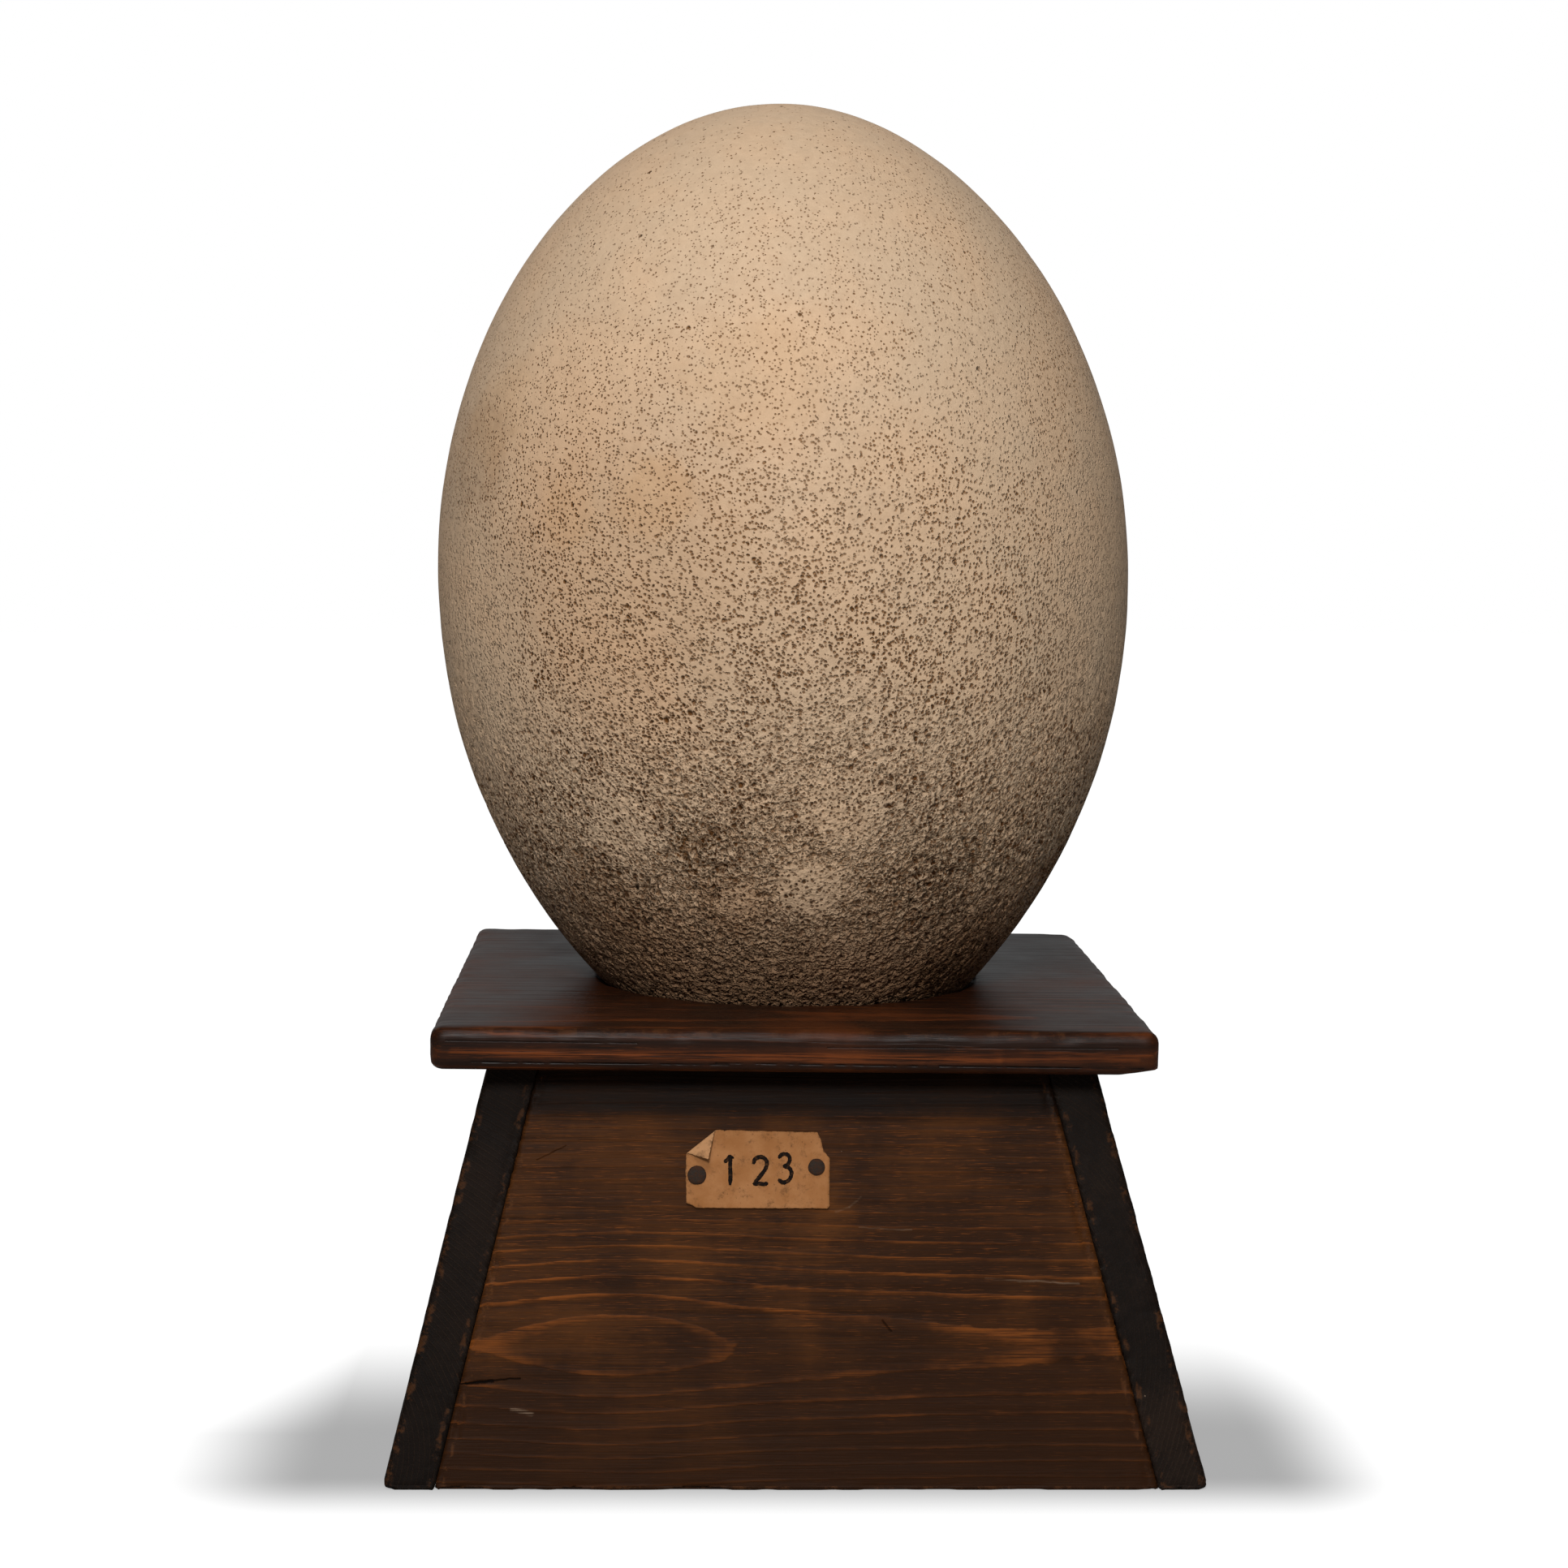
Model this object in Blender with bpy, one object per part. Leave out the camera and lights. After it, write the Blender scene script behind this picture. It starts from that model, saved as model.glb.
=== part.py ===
"""A blown elephant bird egg, seated in the top board of its hollow wooden stand.

Metres, +Z up. The origin is the middle of the stand's open bottom, on the surface it rests on.
The front of the stand, with its paper label, faces -Y.
"""
import math
import random

import bmesh
import bpy
from mathutils import Matrix, Vector, noise

# Gap between neighbouring pieces
GAP = 0.0003
MERGE_DISTANCE = 0.00005

# Egg: a turned form, r(u) = R * sqrt(1 - u^2) * (1 + c1 u + c2 u^2 + c3 u^3 + c4 u^4),
# where u runs from -1 at the lower end to +1 at the upper end
EGG_RADIUS = 0.115
EGG_HALF_LENGTH = 0.1640
EGG_FORM_TERMS = (0.0554, -0.0673, 0.0565, -0.0860)
EGG_CENTRE_X = -0.0007
EGG_CENTRE_Z = 0.2646
EGG_LEAN = math.radians(-1.40)
EGG_MESH_LEVELS = 5
UNEVENNESS = 0.0004
UNEVENNESS_SPAN = 0.055
SEAT_REACH = 0.018

# Pits worn into the lower part of the shell
PIT_COUNT = 120
PIT_TOP_U = 0.10
PIT_BOTTOM_U = -0.72
PIT_HALF_WIDTHS = (0.0014, 0.0019, 0.0025)
PIT_WALL_SHARE = 0.45
PIT_DEPTH_SHARE = 0.50
PIT_SEED = 7

# Top board, which has sagged a little towards +X
BOARD_WIDTH = 0.2223
BOARD_THICKNESS = 0.0136
BOARD_TOP_Z = 0.1387
BOARD_TILT = math.radians(0.5)
BOARD_ROUNDING = 0.0038
WORN_CORNER = Vector((0.015, 0.025, 0.0024))
SEAT_CLEARANCE = 0.0004
SEAT_DEPTH = 0.007
SEAT_SEGMENTS = 64

# Base: four boards that lean inwards, open below
BASE_WIDTH = 0.2513
BASE_TOP_WIDTH = 0.1884
BASE_TOP_SHIFT_X = -0.0006
LEFT_BOARD_EDGE = 0.0162
RIGHT_BOARD_EDGE = 0.0155
FRONT_BOARD_EDGE = 0.0160
WIDEST_ROUNDING = 0.0030
OUTER_ROUNDING = 0.0014
JOINT_ROUNDING = 0.0004

# Paper label, in the front face's own frame: x to the right, y up the slope
LABEL_THICKNESS = 0.00035
LABEL_LEFT = -0.0332
LABEL_RIGHT = 0.0110
LABEL_BOTTOM = 0.0848
LABEL_TOP = 0.1087
LABEL_CLIP = 0.0032
LABEL_FOLD_LEFT = Vector((-0.0330, 0.1009))
LABEL_FOLD_TOP = Vector((-0.0232, 0.1090))
FOLD_ROLL_RADIUS = 0.0004
FOLD_TURN = math.radians(158)
FOLD_STEPS = 5

# Tacks
LEFT_TACK = Vector((-0.0297, 0.0949))
RIGHT_TACK = Vector((0.0070, 0.0974))
LEFT_TACK_RADIUS = 0.0029
RIGHT_TACK_RADIUS = 0.0026
TACK_HEAD_HEIGHT = 0.0008
TACK_RIM = 0.0003
SHANK_RADIUS = 0.0007
SHANK_LENGTH = 0.0065
TACK_SEGMENTS = 16
TACK_HOLE_RADIUS = SHANK_RADIUS + GAP + 0.0001
TACK_HOLE_DEPTH = SHANK_LENGTH + 0.001

BASE_TOP_Z = BOARD_TOP_Z - BOARD_THICKNESS
WALL_RUN = (BASE_WIDTH - BASE_TOP_WIDTH) / 2 / BASE_TOP_Z
WALL_LEAN = math.atan(WALL_RUN)


def clear_scene():
    for thing in list(bpy.data.objects):
        bpy.data.objects.remove(thing, do_unlink=True)


def make_material(name, colour, roughness, metallic=0.0):
    material = bpy.data.materials.new(name)
    material.use_nodes = True
    shader = material.node_tree.nodes["Principled BSDF"]
    shader.inputs["Base Color"].default_value = (*colour, 1.0)
    shader.inputs["Roughness"].default_value = roughness
    shader.inputs["Metallic"].default_value = metallic
    material.diffuse_color = (*colour, 1.0)
    return material


def shell_material():
    return make_material("eggshell", (0.60, 0.50, 0.36), 0.62)


def board_material(name):
    return make_material(name, (0.060, 0.026, 0.012), 0.42)


def paper_material():
    return make_material("old_paper", (0.48, 0.29, 0.14), 0.85)


def tack_material(name):
    return make_material(name, (0.045, 0.035, 0.028), 0.50, 0.85)


def add_object(name, form, material, smooth_angle=math.radians(35)):
    mesh = bpy.data.meshes.new(name)
    form.to_mesh(mesh)
    form.free()
    mesh.materials.append(material)
    mesh.shade_smooth()
    mesh.set_sharp_from_angle(angle=smooth_angle)
    piece = bpy.data.objects.new(name, mesh)
    bpy.context.collection.objects.link(piece)
    return piece


def add_cutter(name, form):
    mesh = bpy.data.meshes.new(name)
    form.to_mesh(mesh)
    form.free()
    cutter = bpy.data.objects.new(name, mesh)
    cutter.hide_render = True
    cutter.display_type = "WIRE"
    bpy.context.collection.objects.link(cutter)
    return cutter


def cut(piece, cutter):
    modifier = piece.modifiers.new("cut", "BOOLEAN")
    modifier.operation = "DIFFERENCE"
    modifier.solver = "EXACT"
    modifier.object = cutter


def egg_form(u):
    swell = 1.0
    power = u
    for term in EGG_FORM_TERMS:
        swell += term * power
        power *= u
    return math.sqrt(max(0.0, 1.0 - u * u)) * swell


EGG_FORM_PEAK = max(egg_form(step / 500 - 1.0) for step in range(1001))


def egg_radius(u):
    return EGG_RADIUS * egg_form(u) / EGG_FORM_PEAK


def seat_fade(height):
    """0 where the shell meets the board, 1 well above it; height is along the egg's own axis."""
    above = height - (BOARD_TOP_Z - EGG_CENTRE_Z)
    return min(1.0, max(0.0, (above - SEAT_REACH / 3) / SEAT_REACH))


def egg_point(direction):
    """Point on the shell for a point of the unit sphere."""
    u = max(-1.0, min(1.0, direction.z))
    around = math.hypot(direction.x, direction.y)
    radius = egg_radius(u)
    if around > 1e-9:
        x = direction.x / around * radius
        y = direction.y / around * radius
    else:
        x = y = 0.0
    point = Vector((x, y, u * EGG_HALF_LENGTH))
    bump = noise.noise(point / UNEVENNESS_SPAN) * UNEVENNESS * seat_fade(point.z)
    return point + direction * bump


def pit_sites(form):
    """Vertices that become pits: none next to another, and more of them lower down."""
    draw = random.Random(PIT_SEED)
    half = EGG_HALF_LENGTH
    zone = [v for v in form.verts if PIT_BOTTOM_U * half < v.co.z < PIT_TOP_U * half]
    draw.shuffle(zone)
    chosen = []
    taken = set()
    for vert in zone:
        lowness = (PIT_TOP_U - vert.co.z / half) / (PIT_TOP_U - PIT_BOTTOM_U)
        if vert.index in taken or draw.random() > lowness:
            continue
        chosen.append(vert)
        taken.add(vert.index)
        for edge in vert.link_edges:
            near = edge.other_vert(vert)
            taken.add(near.index)
            taken.update(e.other_vert(near).index for e in near.link_edges)
        if len(chosen) == PIT_COUNT:
            break
    return chosen


def sink_pits(form):
    sites = pit_sites(form)
    sizes = len(PIT_HALF_WIDTHS)
    groups = [sites[start::sizes] for start in range(sizes)]
    for half_width, group in zip(PIT_HALF_WIDTHS, groups):
        made = bmesh.ops.bevel(
            form, geom=group, offset=half_width, offset_type="OFFSET",
            segments=1, profile=0.5, affect="VERTICES")
        bmesh.ops.inset_individual(
            form, faces=made["faces"], thickness=half_width * PIT_WALL_SHARE,
            depth=-half_width * PIT_DEPTH_SHARE)


def make_egg():
    form = bmesh.new()
    bmesh.ops.create_icosphere(form, subdivisions=EGG_MESH_LEVELS, radius=1.0)
    for vert in form.verts:
        vert.co = egg_point(vert.co.normalized())
    form.verts.index_update()
    form.normal_update()
    sink_pits(form)
    egg = add_object("egg", form, shell_material(), math.radians(30))
    egg.location = (EGG_CENTRE_X, 0.0, EGG_CENTRE_Z)
    egg.rotation_euler = (0.0, EGG_LEAN, 0.0)
    return egg


def turned_form(profile, segments):
    """Closed solid turned about Z from (radius, z) points that start and end on the axis."""
    form = bmesh.new()
    verts = [form.verts.new((radius, 0.0, z)) for radius, z in profile]
    edges = [form.edges.new(pair) for pair in zip(verts, verts[1:])]
    bmesh.ops.spin(
        form, geom=verts + edges, cent=(0, 0, 0), axis=(0, 0, 1), dvec=(0, 0, 0),
        angle=2 * math.pi, steps=segments, use_merge=False, use_duplicate=False)
    bmesh.ops.remove_doubles(form, verts=form.verts, dist=MERGE_DISTANCE)
    bmesh.ops.recalc_face_normals(form, faces=form.faces)
    return form


def seat_cutter():
    """Follows the shell down through the board's upper half, then drops straight."""
    seat_z = BOARD_TOP_Z - SEAT_DEPTH - EGG_CENTRE_Z
    top_z = BOARD_TOP_Z + SEAT_DEPTH - EGG_CENTRE_Z
    low_z = BOARD_TOP_Z - 3 * BOARD_THICKNESS - EGG_CENTRE_Z
    steps = 6
    levels = [seat_z + (top_z - seat_z) * i / steps for i in range(steps + 1)]
    wall = [(egg_radius(z / EGG_HALF_LENGTH) + 1.5 * SEAT_CLEARANCE, z) for z in levels]
    profile = [(0.0, low_z), (wall[0][0], low_z), *wall, (0.0, top_z)]
    cutter = add_cutter("seat_cutter", turned_form(profile, SEAT_SEGMENTS))
    cutter.location = (EGG_CENTRE_X, 0.0, EGG_CENTRE_Z)
    cutter.rotation_euler = (0.0, EGG_LEAN, 0.0)
    return cutter


def wear_corner(form):
    """Slopes off the underside's front corner at +X."""
    half = BOARD_WIDTH / 2
    corner = Vector((half, -half, -BOARD_THICKNESS / 2))
    inward = corner - Vector((WORN_CORNER.x, 0, 0))
    back = corner + Vector((0, WORN_CORNER.y, 0))
    up = corner + Vector((0, 0, WORN_CORNER.z))
    normal = (back - inward).cross(up - inward).normalized()
    if normal.dot(corner - up) < 0:
        normal.negate()
    parts = bmesh.ops.bisect_plane(
        form, geom=form.verts[:] + form.edges[:] + form.faces[:],
        plane_co=up, plane_no=normal, clear_outer=True)
    edges = [g for g in parts["geom_cut"] if isinstance(g, bmesh.types.BMEdge)]
    bmesh.ops.contextual_create(form, geom=edges)
    bmesh.ops.remove_doubles(form, verts=form.verts, dist=MERGE_DISTANCE)


def make_top_board():
    form = bmesh.new()
    size = Matrix.Diagonal((BOARD_WIDTH, BOARD_WIDTH, BOARD_THICKNESS, 1.0))
    bmesh.ops.create_cube(form, size=1.0, matrix=size)
    bmesh.ops.bevel(
        form, geom=form.edges[:], offset=BOARD_ROUNDING, offset_type="OFFSET",
        segments=4, profile=0.5, affect="EDGES")
    wear_corner(form)
    board = add_object("top_board", form, board_material("top_board_wood"))
    middle = Vector((math.sin(BOARD_TILT), 0.0, math.cos(BOARD_TILT))) * BOARD_THICKNESS / 2
    board.location = Vector((0.0, 0.0, BOARD_TOP_Z)) - middle
    board.rotation_euler = (0.0, BOARD_TILT, 0.0)
    cut(board, seat_cutter())
    return board


def wall_half_width(z):
    return BASE_WIDTH / 2 - WALL_RUN * z


def wall_middle(z):
    return BASE_TOP_SHIFT_X * z / BASE_TOP_Z


def underside_z(x):
    """Height of the tilted top board's underside, less the gap."""
    return BASE_TOP_Z - x * math.tan(BOARD_TILT) - GAP


def side_board_x(side, edge, z):
    """Outer and inner x of a side board at a height; side is -1 or 1."""
    outer = wall_middle(z) + side * wall_half_width(z)
    return outer, outer - side * edge


def top_corner(x_at, y_at):
    """The point where a board's upright edge meets the underside of the top board."""
    z = BASE_TOP_Z
    for _ in range(4):
        z = underside_z(x_at(z))
    return Vector((x_at(z), y_at(z), z))


def board_block(corners):
    """Six-sided solid between four upright edges, given as (x(z), y(z)) in turn."""
    form = bmesh.new()
    low = [form.verts.new((x_at(0.0), y_at(0.0), 0.0)) for x_at, y_at in corners]
    high = [form.verts.new(top_corner(x_at, y_at)) for x_at, y_at in corners]
    form.faces.new(low)
    form.faces.new(high)
    for i in range(4):
        j = (i + 1) % 4
        form.faces.new((low[i], low[j], high[j], high[i]))
    bmesh.ops.recalc_face_normals(form, faces=form.faces)
    return form


def round_by_weight(form, radius_of):
    """Rounds every edge, each by its own radius, through a Bevel modifier's weights."""
    layer = form.edges.layers.float.new("bevel_weight_edge")
    for edge in form.edges:
        edge[layer] = radius_of(edge) / WIDEST_ROUNDING


def add_rounding(board, segments=2):
    modifier = board.modifiers.new("rounding", "BEVEL")
    modifier.limit_method = "WEIGHT"
    modifier.offset_type = "OFFSET"
    modifier.width = WIDEST_ROUNDING
    modifier.segments = segments


def make_side_board(name, side, edge_width):
    outer = lambda z: side_board_x(side, edge_width, z)[0]
    inner = lambda z: side_board_x(side, edge_width, z)[1]
    front = lambda z: -wall_half_width(z)
    back = wall_half_width
    form = board_block([(outer, front), (inner, front), (inner, back), (outer, back)])

    def radius_of(edge):
        a, b = (v.co for v in edge.verts)
        is_outer = all(abs(p.x - outer(p.z)) < GAP for p in (a, b))
        is_low = max(a.z, b.z) < GAP
        is_upright = abs(a.z - b.z) > BASE_TOP_Z / 2
        if is_outer and is_low:
            return WIDEST_ROUNDING
        if is_outer and is_upright:
            return OUTER_ROUNDING
        return JOINT_ROUNDING

    round_by_weight(form, radius_of)
    board = add_object(name, form, board_material(name + "_wood"))
    add_rounding(board)
    return board


def make_cross_board(name, side):
    """The front board, side -1, or the back board, side 1, held between the side boards."""
    left = lambda z: side_board_x(-1, LEFT_BOARD_EDGE, z)[1] + GAP
    right = lambda z: side_board_x(1, RIGHT_BOARD_EDGE, z)[1] - GAP
    outer = lambda z: side * wall_half_width(z)
    inner = lambda z: side * (wall_half_width(z) - FRONT_BOARD_EDGE)
    form = board_block([(left, outer), (right, outer), (right, inner), (left, inner)])
    round_by_weight(form, lambda edge: JOINT_ROUNDING)
    board = add_object(name, form, board_material(name + "_wood"))
    add_rounding(board)
    return board


def front_face_matrix(x, up, out):
    """Frame on the front face: local X to the right, Y up the slope, Z out of the face."""
    rise = Vector((0.0, math.sin(WALL_LEAN), math.cos(WALL_LEAN)))
    normal = Vector((0.0, -math.cos(WALL_LEAN), math.sin(WALL_LEAN)))
    point = Vector((x, -BASE_WIDTH / 2, 0.0)) + rise * up + normal * out
    turn = Matrix.Rotation(math.pi / 2 - WALL_LEAN, 4, "X")
    return Matrix.Translation(point) @ turn


def label_outline():
    return [
        (LABEL_LEFT + LABEL_CLIP, LABEL_BOTTOM),
        (LABEL_RIGHT - LABEL_CLIP / 4, LABEL_BOTTOM),
        (LABEL_RIGHT, LABEL_BOTTOM + LABEL_CLIP / 4),
        (LABEL_RIGHT, LABEL_TOP - 2.7 * LABEL_CLIP),
        (LABEL_RIGHT - 0.6 * LABEL_CLIP, LABEL_TOP - 2.1 * LABEL_CLIP),
        (LABEL_RIGHT - 1.2 * LABEL_CLIP, LABEL_TOP - LABEL_CLIP / 6),
        (LABEL_LEFT - LABEL_CLIP / 4, LABEL_TOP + LABEL_CLIP / 4),
        (LABEL_LEFT, LABEL_BOTTOM + LABEL_CLIP / 2),
    ]


def fold_over(point, fold_start, fold_normal):
    """Rolls what lies past the fold line forwards and over the sheet."""
    past = (point.xy - fold_start).dot(fold_normal)
    if past <= 0.0:
        return point
    turn = min(past / FOLD_ROLL_RADIUS, FOLD_TURN)
    straight = past - turn * FOLD_ROLL_RADIUS
    across = FOLD_ROLL_RADIUS * math.sin(turn) + straight * math.cos(turn)
    height = FOLD_ROLL_RADIUS * (1 - math.cos(turn)) + straight * math.sin(turn)
    flat = point.xy + fold_normal * (across - past)
    return Vector((flat.x, flat.y, height))


def make_label():
    form = bmesh.new()
    form.faces.new([form.verts.new((x, y, 0.0)) for x, y in label_outline()])
    along = (LABEL_FOLD_TOP - LABEL_FOLD_LEFT).normalized()
    fold_normal = Vector((-along.y, along.x))
    roll = FOLD_ROLL_RADIUS * FOLD_TURN
    for step in range(FOLD_STEPS + 1):
        line = LABEL_FOLD_LEFT + fold_normal * roll * step / FOLD_STEPS
        bmesh.ops.bisect_plane(
            form, geom=form.verts[:] + form.edges[:] + form.faces[:],
            plane_co=line.to_3d(), plane_no=fold_normal.to_3d())
    for vert in form.verts:
        vert.co = fold_over(vert.co, LABEL_FOLD_LEFT, fold_normal)
    form.normal_update()
    label = add_object("label", form, paper_material())
    label.matrix_world = front_face_matrix(0.0, 0.0, GAP)
    sheet = label.modifiers.new("thickness", "SOLIDIFY")
    sheet.thickness = LABEL_THICKNESS
    sheet.offset = 1.0
    return label


def tack_profile(radius):
    """From the point of the shank round to the crown of the head; z is out of the board."""
    under = LABEL_THICKNESS + 2 * GAP
    crown = under + TACK_HEAD_HEIGHT
    neck = under - SHANK_LENGTH
    return [
        (0.0, neck),
        (SHANK_RADIUS, neck + 3 * SHANK_RADIUS),
        (SHANK_RADIUS, under),
        (radius, under),
        (radius, under + TACK_RIM),
        (radius * 0.9, under + 0.65 * TACK_HEAD_HEIGHT),
        (radius * 0.5, crown),
        (0.0, crown),
    ]


def make_tack(name, place, radius):
    form = turned_form(tack_profile(radius), TACK_SEGMENTS)
    tack = add_object(name, form, tack_material(name + "_iron"))
    tack.matrix_world = front_face_matrix(place.x, place.y, 0.0)
    return tack


def tack_hole_cutter(name, place):
    form = bmesh.new()
    above = LABEL_THICKNESS + 3 * GAP
    length = above + TACK_HOLE_DEPTH
    middle = Matrix.Translation((0.0, 0.0, above - length / 2))
    bmesh.ops.create_cone(
        form, cap_ends=True, segments=TACK_SEGMENTS, radius1=TACK_HOLE_RADIUS,
        radius2=TACK_HOLE_RADIUS, depth=length, matrix=middle)
    cutter = add_cutter(name, form)
    cutter.matrix_world = front_face_matrix(place.x, place.y, 0.0)
    return cutter


def main():
    clear_scene()
    make_egg()
    make_top_board()
    make_side_board("left_board", -1, LEFT_BOARD_EDGE)
    make_side_board("right_board", 1, RIGHT_BOARD_EDGE)
    front = make_cross_board("front_board", -1)
    make_cross_board("back_board", 1)
    label = make_label()
    for name, place, radius in (
            ("left_tack", LEFT_TACK, LEFT_TACK_RADIUS),
            ("right_tack", RIGHT_TACK, RIGHT_TACK_RADIUS)):
        make_tack(name, place, radius)
        cutter = tack_hole_cutter(name + "_hole", place)
        cut(front, cutter)
        cut(label, cutter)


main()
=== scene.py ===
import math
import random

import bmesh
import bpy
import numpy as np
from bpy.props import FloatProperty, FloatVectorProperty, IntProperty, PointerProperty
from bpy.types import Operator, Panel, PropertyGroup
from mathutils import Matrix, Vector, noise


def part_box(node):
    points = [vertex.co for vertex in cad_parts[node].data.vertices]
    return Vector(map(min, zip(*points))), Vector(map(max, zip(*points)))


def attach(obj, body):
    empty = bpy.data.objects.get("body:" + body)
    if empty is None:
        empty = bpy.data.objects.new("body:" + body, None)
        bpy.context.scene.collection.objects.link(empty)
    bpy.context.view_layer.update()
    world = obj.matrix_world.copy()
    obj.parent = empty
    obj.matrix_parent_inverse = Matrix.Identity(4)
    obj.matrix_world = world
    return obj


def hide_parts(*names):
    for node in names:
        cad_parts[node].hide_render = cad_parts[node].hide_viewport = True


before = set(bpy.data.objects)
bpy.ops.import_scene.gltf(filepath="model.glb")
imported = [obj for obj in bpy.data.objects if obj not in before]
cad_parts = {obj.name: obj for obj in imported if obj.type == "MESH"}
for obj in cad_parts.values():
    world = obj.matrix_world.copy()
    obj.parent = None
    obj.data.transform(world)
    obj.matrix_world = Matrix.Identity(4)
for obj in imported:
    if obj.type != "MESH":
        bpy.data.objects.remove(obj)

bl_info = {
    "name": "Elephant bird egg on its stand",
    "version": (1, 0, 0),
    "blender": (4, 5, 0),
    "location": "View3D > Sidebar > Egg and stand",
    "description": "Dresses the egg, its wooden stand and the paper label, and sets a plain studio",
    "category": "Object",
}

MM = 0.001

# The egg's turned form, read from its box in the frame
EGG_LOW, EGG_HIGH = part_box("egg")
EGG_CENTRE = (EGG_LOW + EGG_HIGH) / 2
EGG_HALF_LENGTH = (EGG_HIGH.z - EGG_LOW.z) / 2
EGG_RADIUS = (EGG_HIGH.y - EGG_LOW.y) / 2
EGG_FORM_TERMS = (0.0554, -0.0673, 0.0565, -0.0860)
EGG_LEAN = math.radians(-1.40)

# The stand's slopes and reference points
WALL_LEAN = math.radians(14.11)
BOARD_TILT = math.radians(0.5)
BASE_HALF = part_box("left_board")[1].y
BOARD_LOW, BOARD_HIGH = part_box("top_board")

# Places on the shell in the egg's own axes, (centre in mm, radius in mm, strength)
CLEAN_PATCHES = (
    ((4, -93, -86), 13.5, 0.82), ((-55, -86, -66), 15, 0.6), ((15, -100, -60), 15, 0.65),
    ((-17, -91, -92), 9, 0.75), ((60, 70, -70), 22, 0.8), ((-80, 60, -50), 20, 0.6))
DIRTY_PATCHES = (
    ((-29, -93, -72), 16, 1.0), ((46, -81, -88), 26, 0.9), ((90, -23, -87), 24, 1.0),
    ((-50, -98, -50), 34, 0.5), ((10, -108, -45), 40, 0.6), ((-30, 90, -75), 34, 0.9),
    ((70, 60, -95), 24, 0.6))
OCHRE_PATCHES = (
    ((-42, -104, 36), 15, 0.9), ((-67, -91, 31), 12, 0.7), ((-40, -101, 14), 40, 0.2),
    ((-10, -103, 71), 24, 0.5), ((-89, -57, 62), 20, 0.5), ((50, 90, 40), 26, 0.6))
BROWN_PATCHES = (
    ((-62, -65, -93), 20, 0.8), ((-98, -52, 50), 22, 0.45), ((90, -26, -95), 26, 1.0),
    ((56, -52, -120), 24, 0.9), ((104, -38, -55), 24, 0.5), ((-60, 60, -100), 26, 0.7))
TAN_PATCHES = (
    ((-52, -95, 12), 54, 1.0), ((-50, -95, 12), 74, 0.66), ((-48, -95, 12), 96, 0.33),
    ((-20, -88, -90), 14, 1.0), ((-60, 70, -20), 40, 0.6))

# Where the pores hold little earth
DRY_PATCHES = (
    ((108, -40, 10), 62, 1.0), ((-108, -40, -10), 50, 0.9), ((60, -80, 60), 30, 0.5),
    ((0, 110, 20), 60, 0.7))

# Camera: a long lens a little to the left, looking slightly down
CAMERA_PLACE = Vector((-0.03243, -1.05863, 0.30066))
CAMERA_PITCH = math.radians(5.249)
CAMERA_LENS = 72.57
CAMERA_SENSOR = 36.0
CAMERA_SHIFT_X = 0.0611
AIM = Vector((0.0, 0.0, 0.24))


class Graph:
    """Short ways to add nodes to a material or a node group."""

    def __init__(self, tree):
        self.tree = tree

    def feed(self, socket, value):
        if isinstance(value, bpy.types.NodeSocket):
            self.tree.links.new(value, socket)
        else:
            socket.default_value = value

    def add(self, kind, sockets=None, **settings):
        node = self.tree.nodes.new(kind)
        for name, value in settings.items():
            setattr(node, name, value)
        for name, value in (sockets or {}).items():
            self.feed(node.inputs[name], value)
        return node

    def vector(self, operation, *values):
        node = self.add("ShaderNodeVectorMath", dict(enumerate(values)), operation=operation)
        single = operation in {"DOT_PRODUCT", "LENGTH", "DISTANCE"}
        return node.outputs["Value" if single else "Vector"]

    def noise(self, place, size, detail=2.0, roughness=0.5, distortion=0.0, output=0):
        """Cloudy noise whose features are about size metres across."""
        node = self.add("ShaderNodeTexNoise", {
            "Vector": place, "Scale": 1.0 / size, "Detail": detail, "Roughness": roughness,
            "Distortion": distortion})
        return node.outputs[output]

    def mix(self, share, first, second, blend="MIX"):
        """Second over first; each is a socket or a plain (red, green, blue)."""
        node = self.add("ShaderNodeMix", {0: share}, data_type="RGBA", blend_type=blend)
        for place, colour in ((6, first), (7, second)):
            linked = isinstance(colour, bpy.types.NodeSocket)
            self.feed(node.inputs[place], colour if linked else (*colour, 1.0))
        return node.outputs[2]

    def paint(self, colour, *share, blend="MIX"):
        """Lays a colour over the tone so far; its share is the product of the values."""
        self.tone = self.mix(times(*share), self.tone, colour, blend)

    def group(self, name, **sockets):
        node = self.add("ShaderNodeGroup", node_tree=bpy.data.node_groups[name])
        for label, value in sockets.items():
            self.feed(node.inputs[label.replace("_", " ")], value)
        return node.outputs

    def attribute(self, name):
        return self.add("ShaderNodeAttribute", attribute_name=name).outputs["Fac"]

    def place(self):
        return self.add("ShaderNodeTexCoord").outputs["Object"]

    def parts(self, vector):
        return self.add("ShaderNodeSeparateXYZ", {0: vector}).outputs


def compute(operation, *values, clamp=False):
    """A maths node in the tree that the values' sockets belong to."""
    tree = next(value.id_data for value in values if isinstance(value, bpy.types.NodeSocket))
    inputs = dict(enumerate(values))
    return Graph(tree).add("ShaderNodeMath", inputs, operation=operation, use_clamp=clamp).outputs[0]


def chain(operation, values):
    total = values[0]
    for value in values[1:]:
        total = compute(operation, total, value)
    return total


def plus(*values):
    return chain("ADD", values)


def times(*values):
    return chain("MULTIPLY", values)


def most(*values):
    return chain("MAXIMUM", values)


def minus(first, second):
    return compute("SUBTRACT", first, second)


def sway(value, reach):
    """A noise value spread evenly about nought."""
    return times(minus(value, 0.5), reach)


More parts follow.
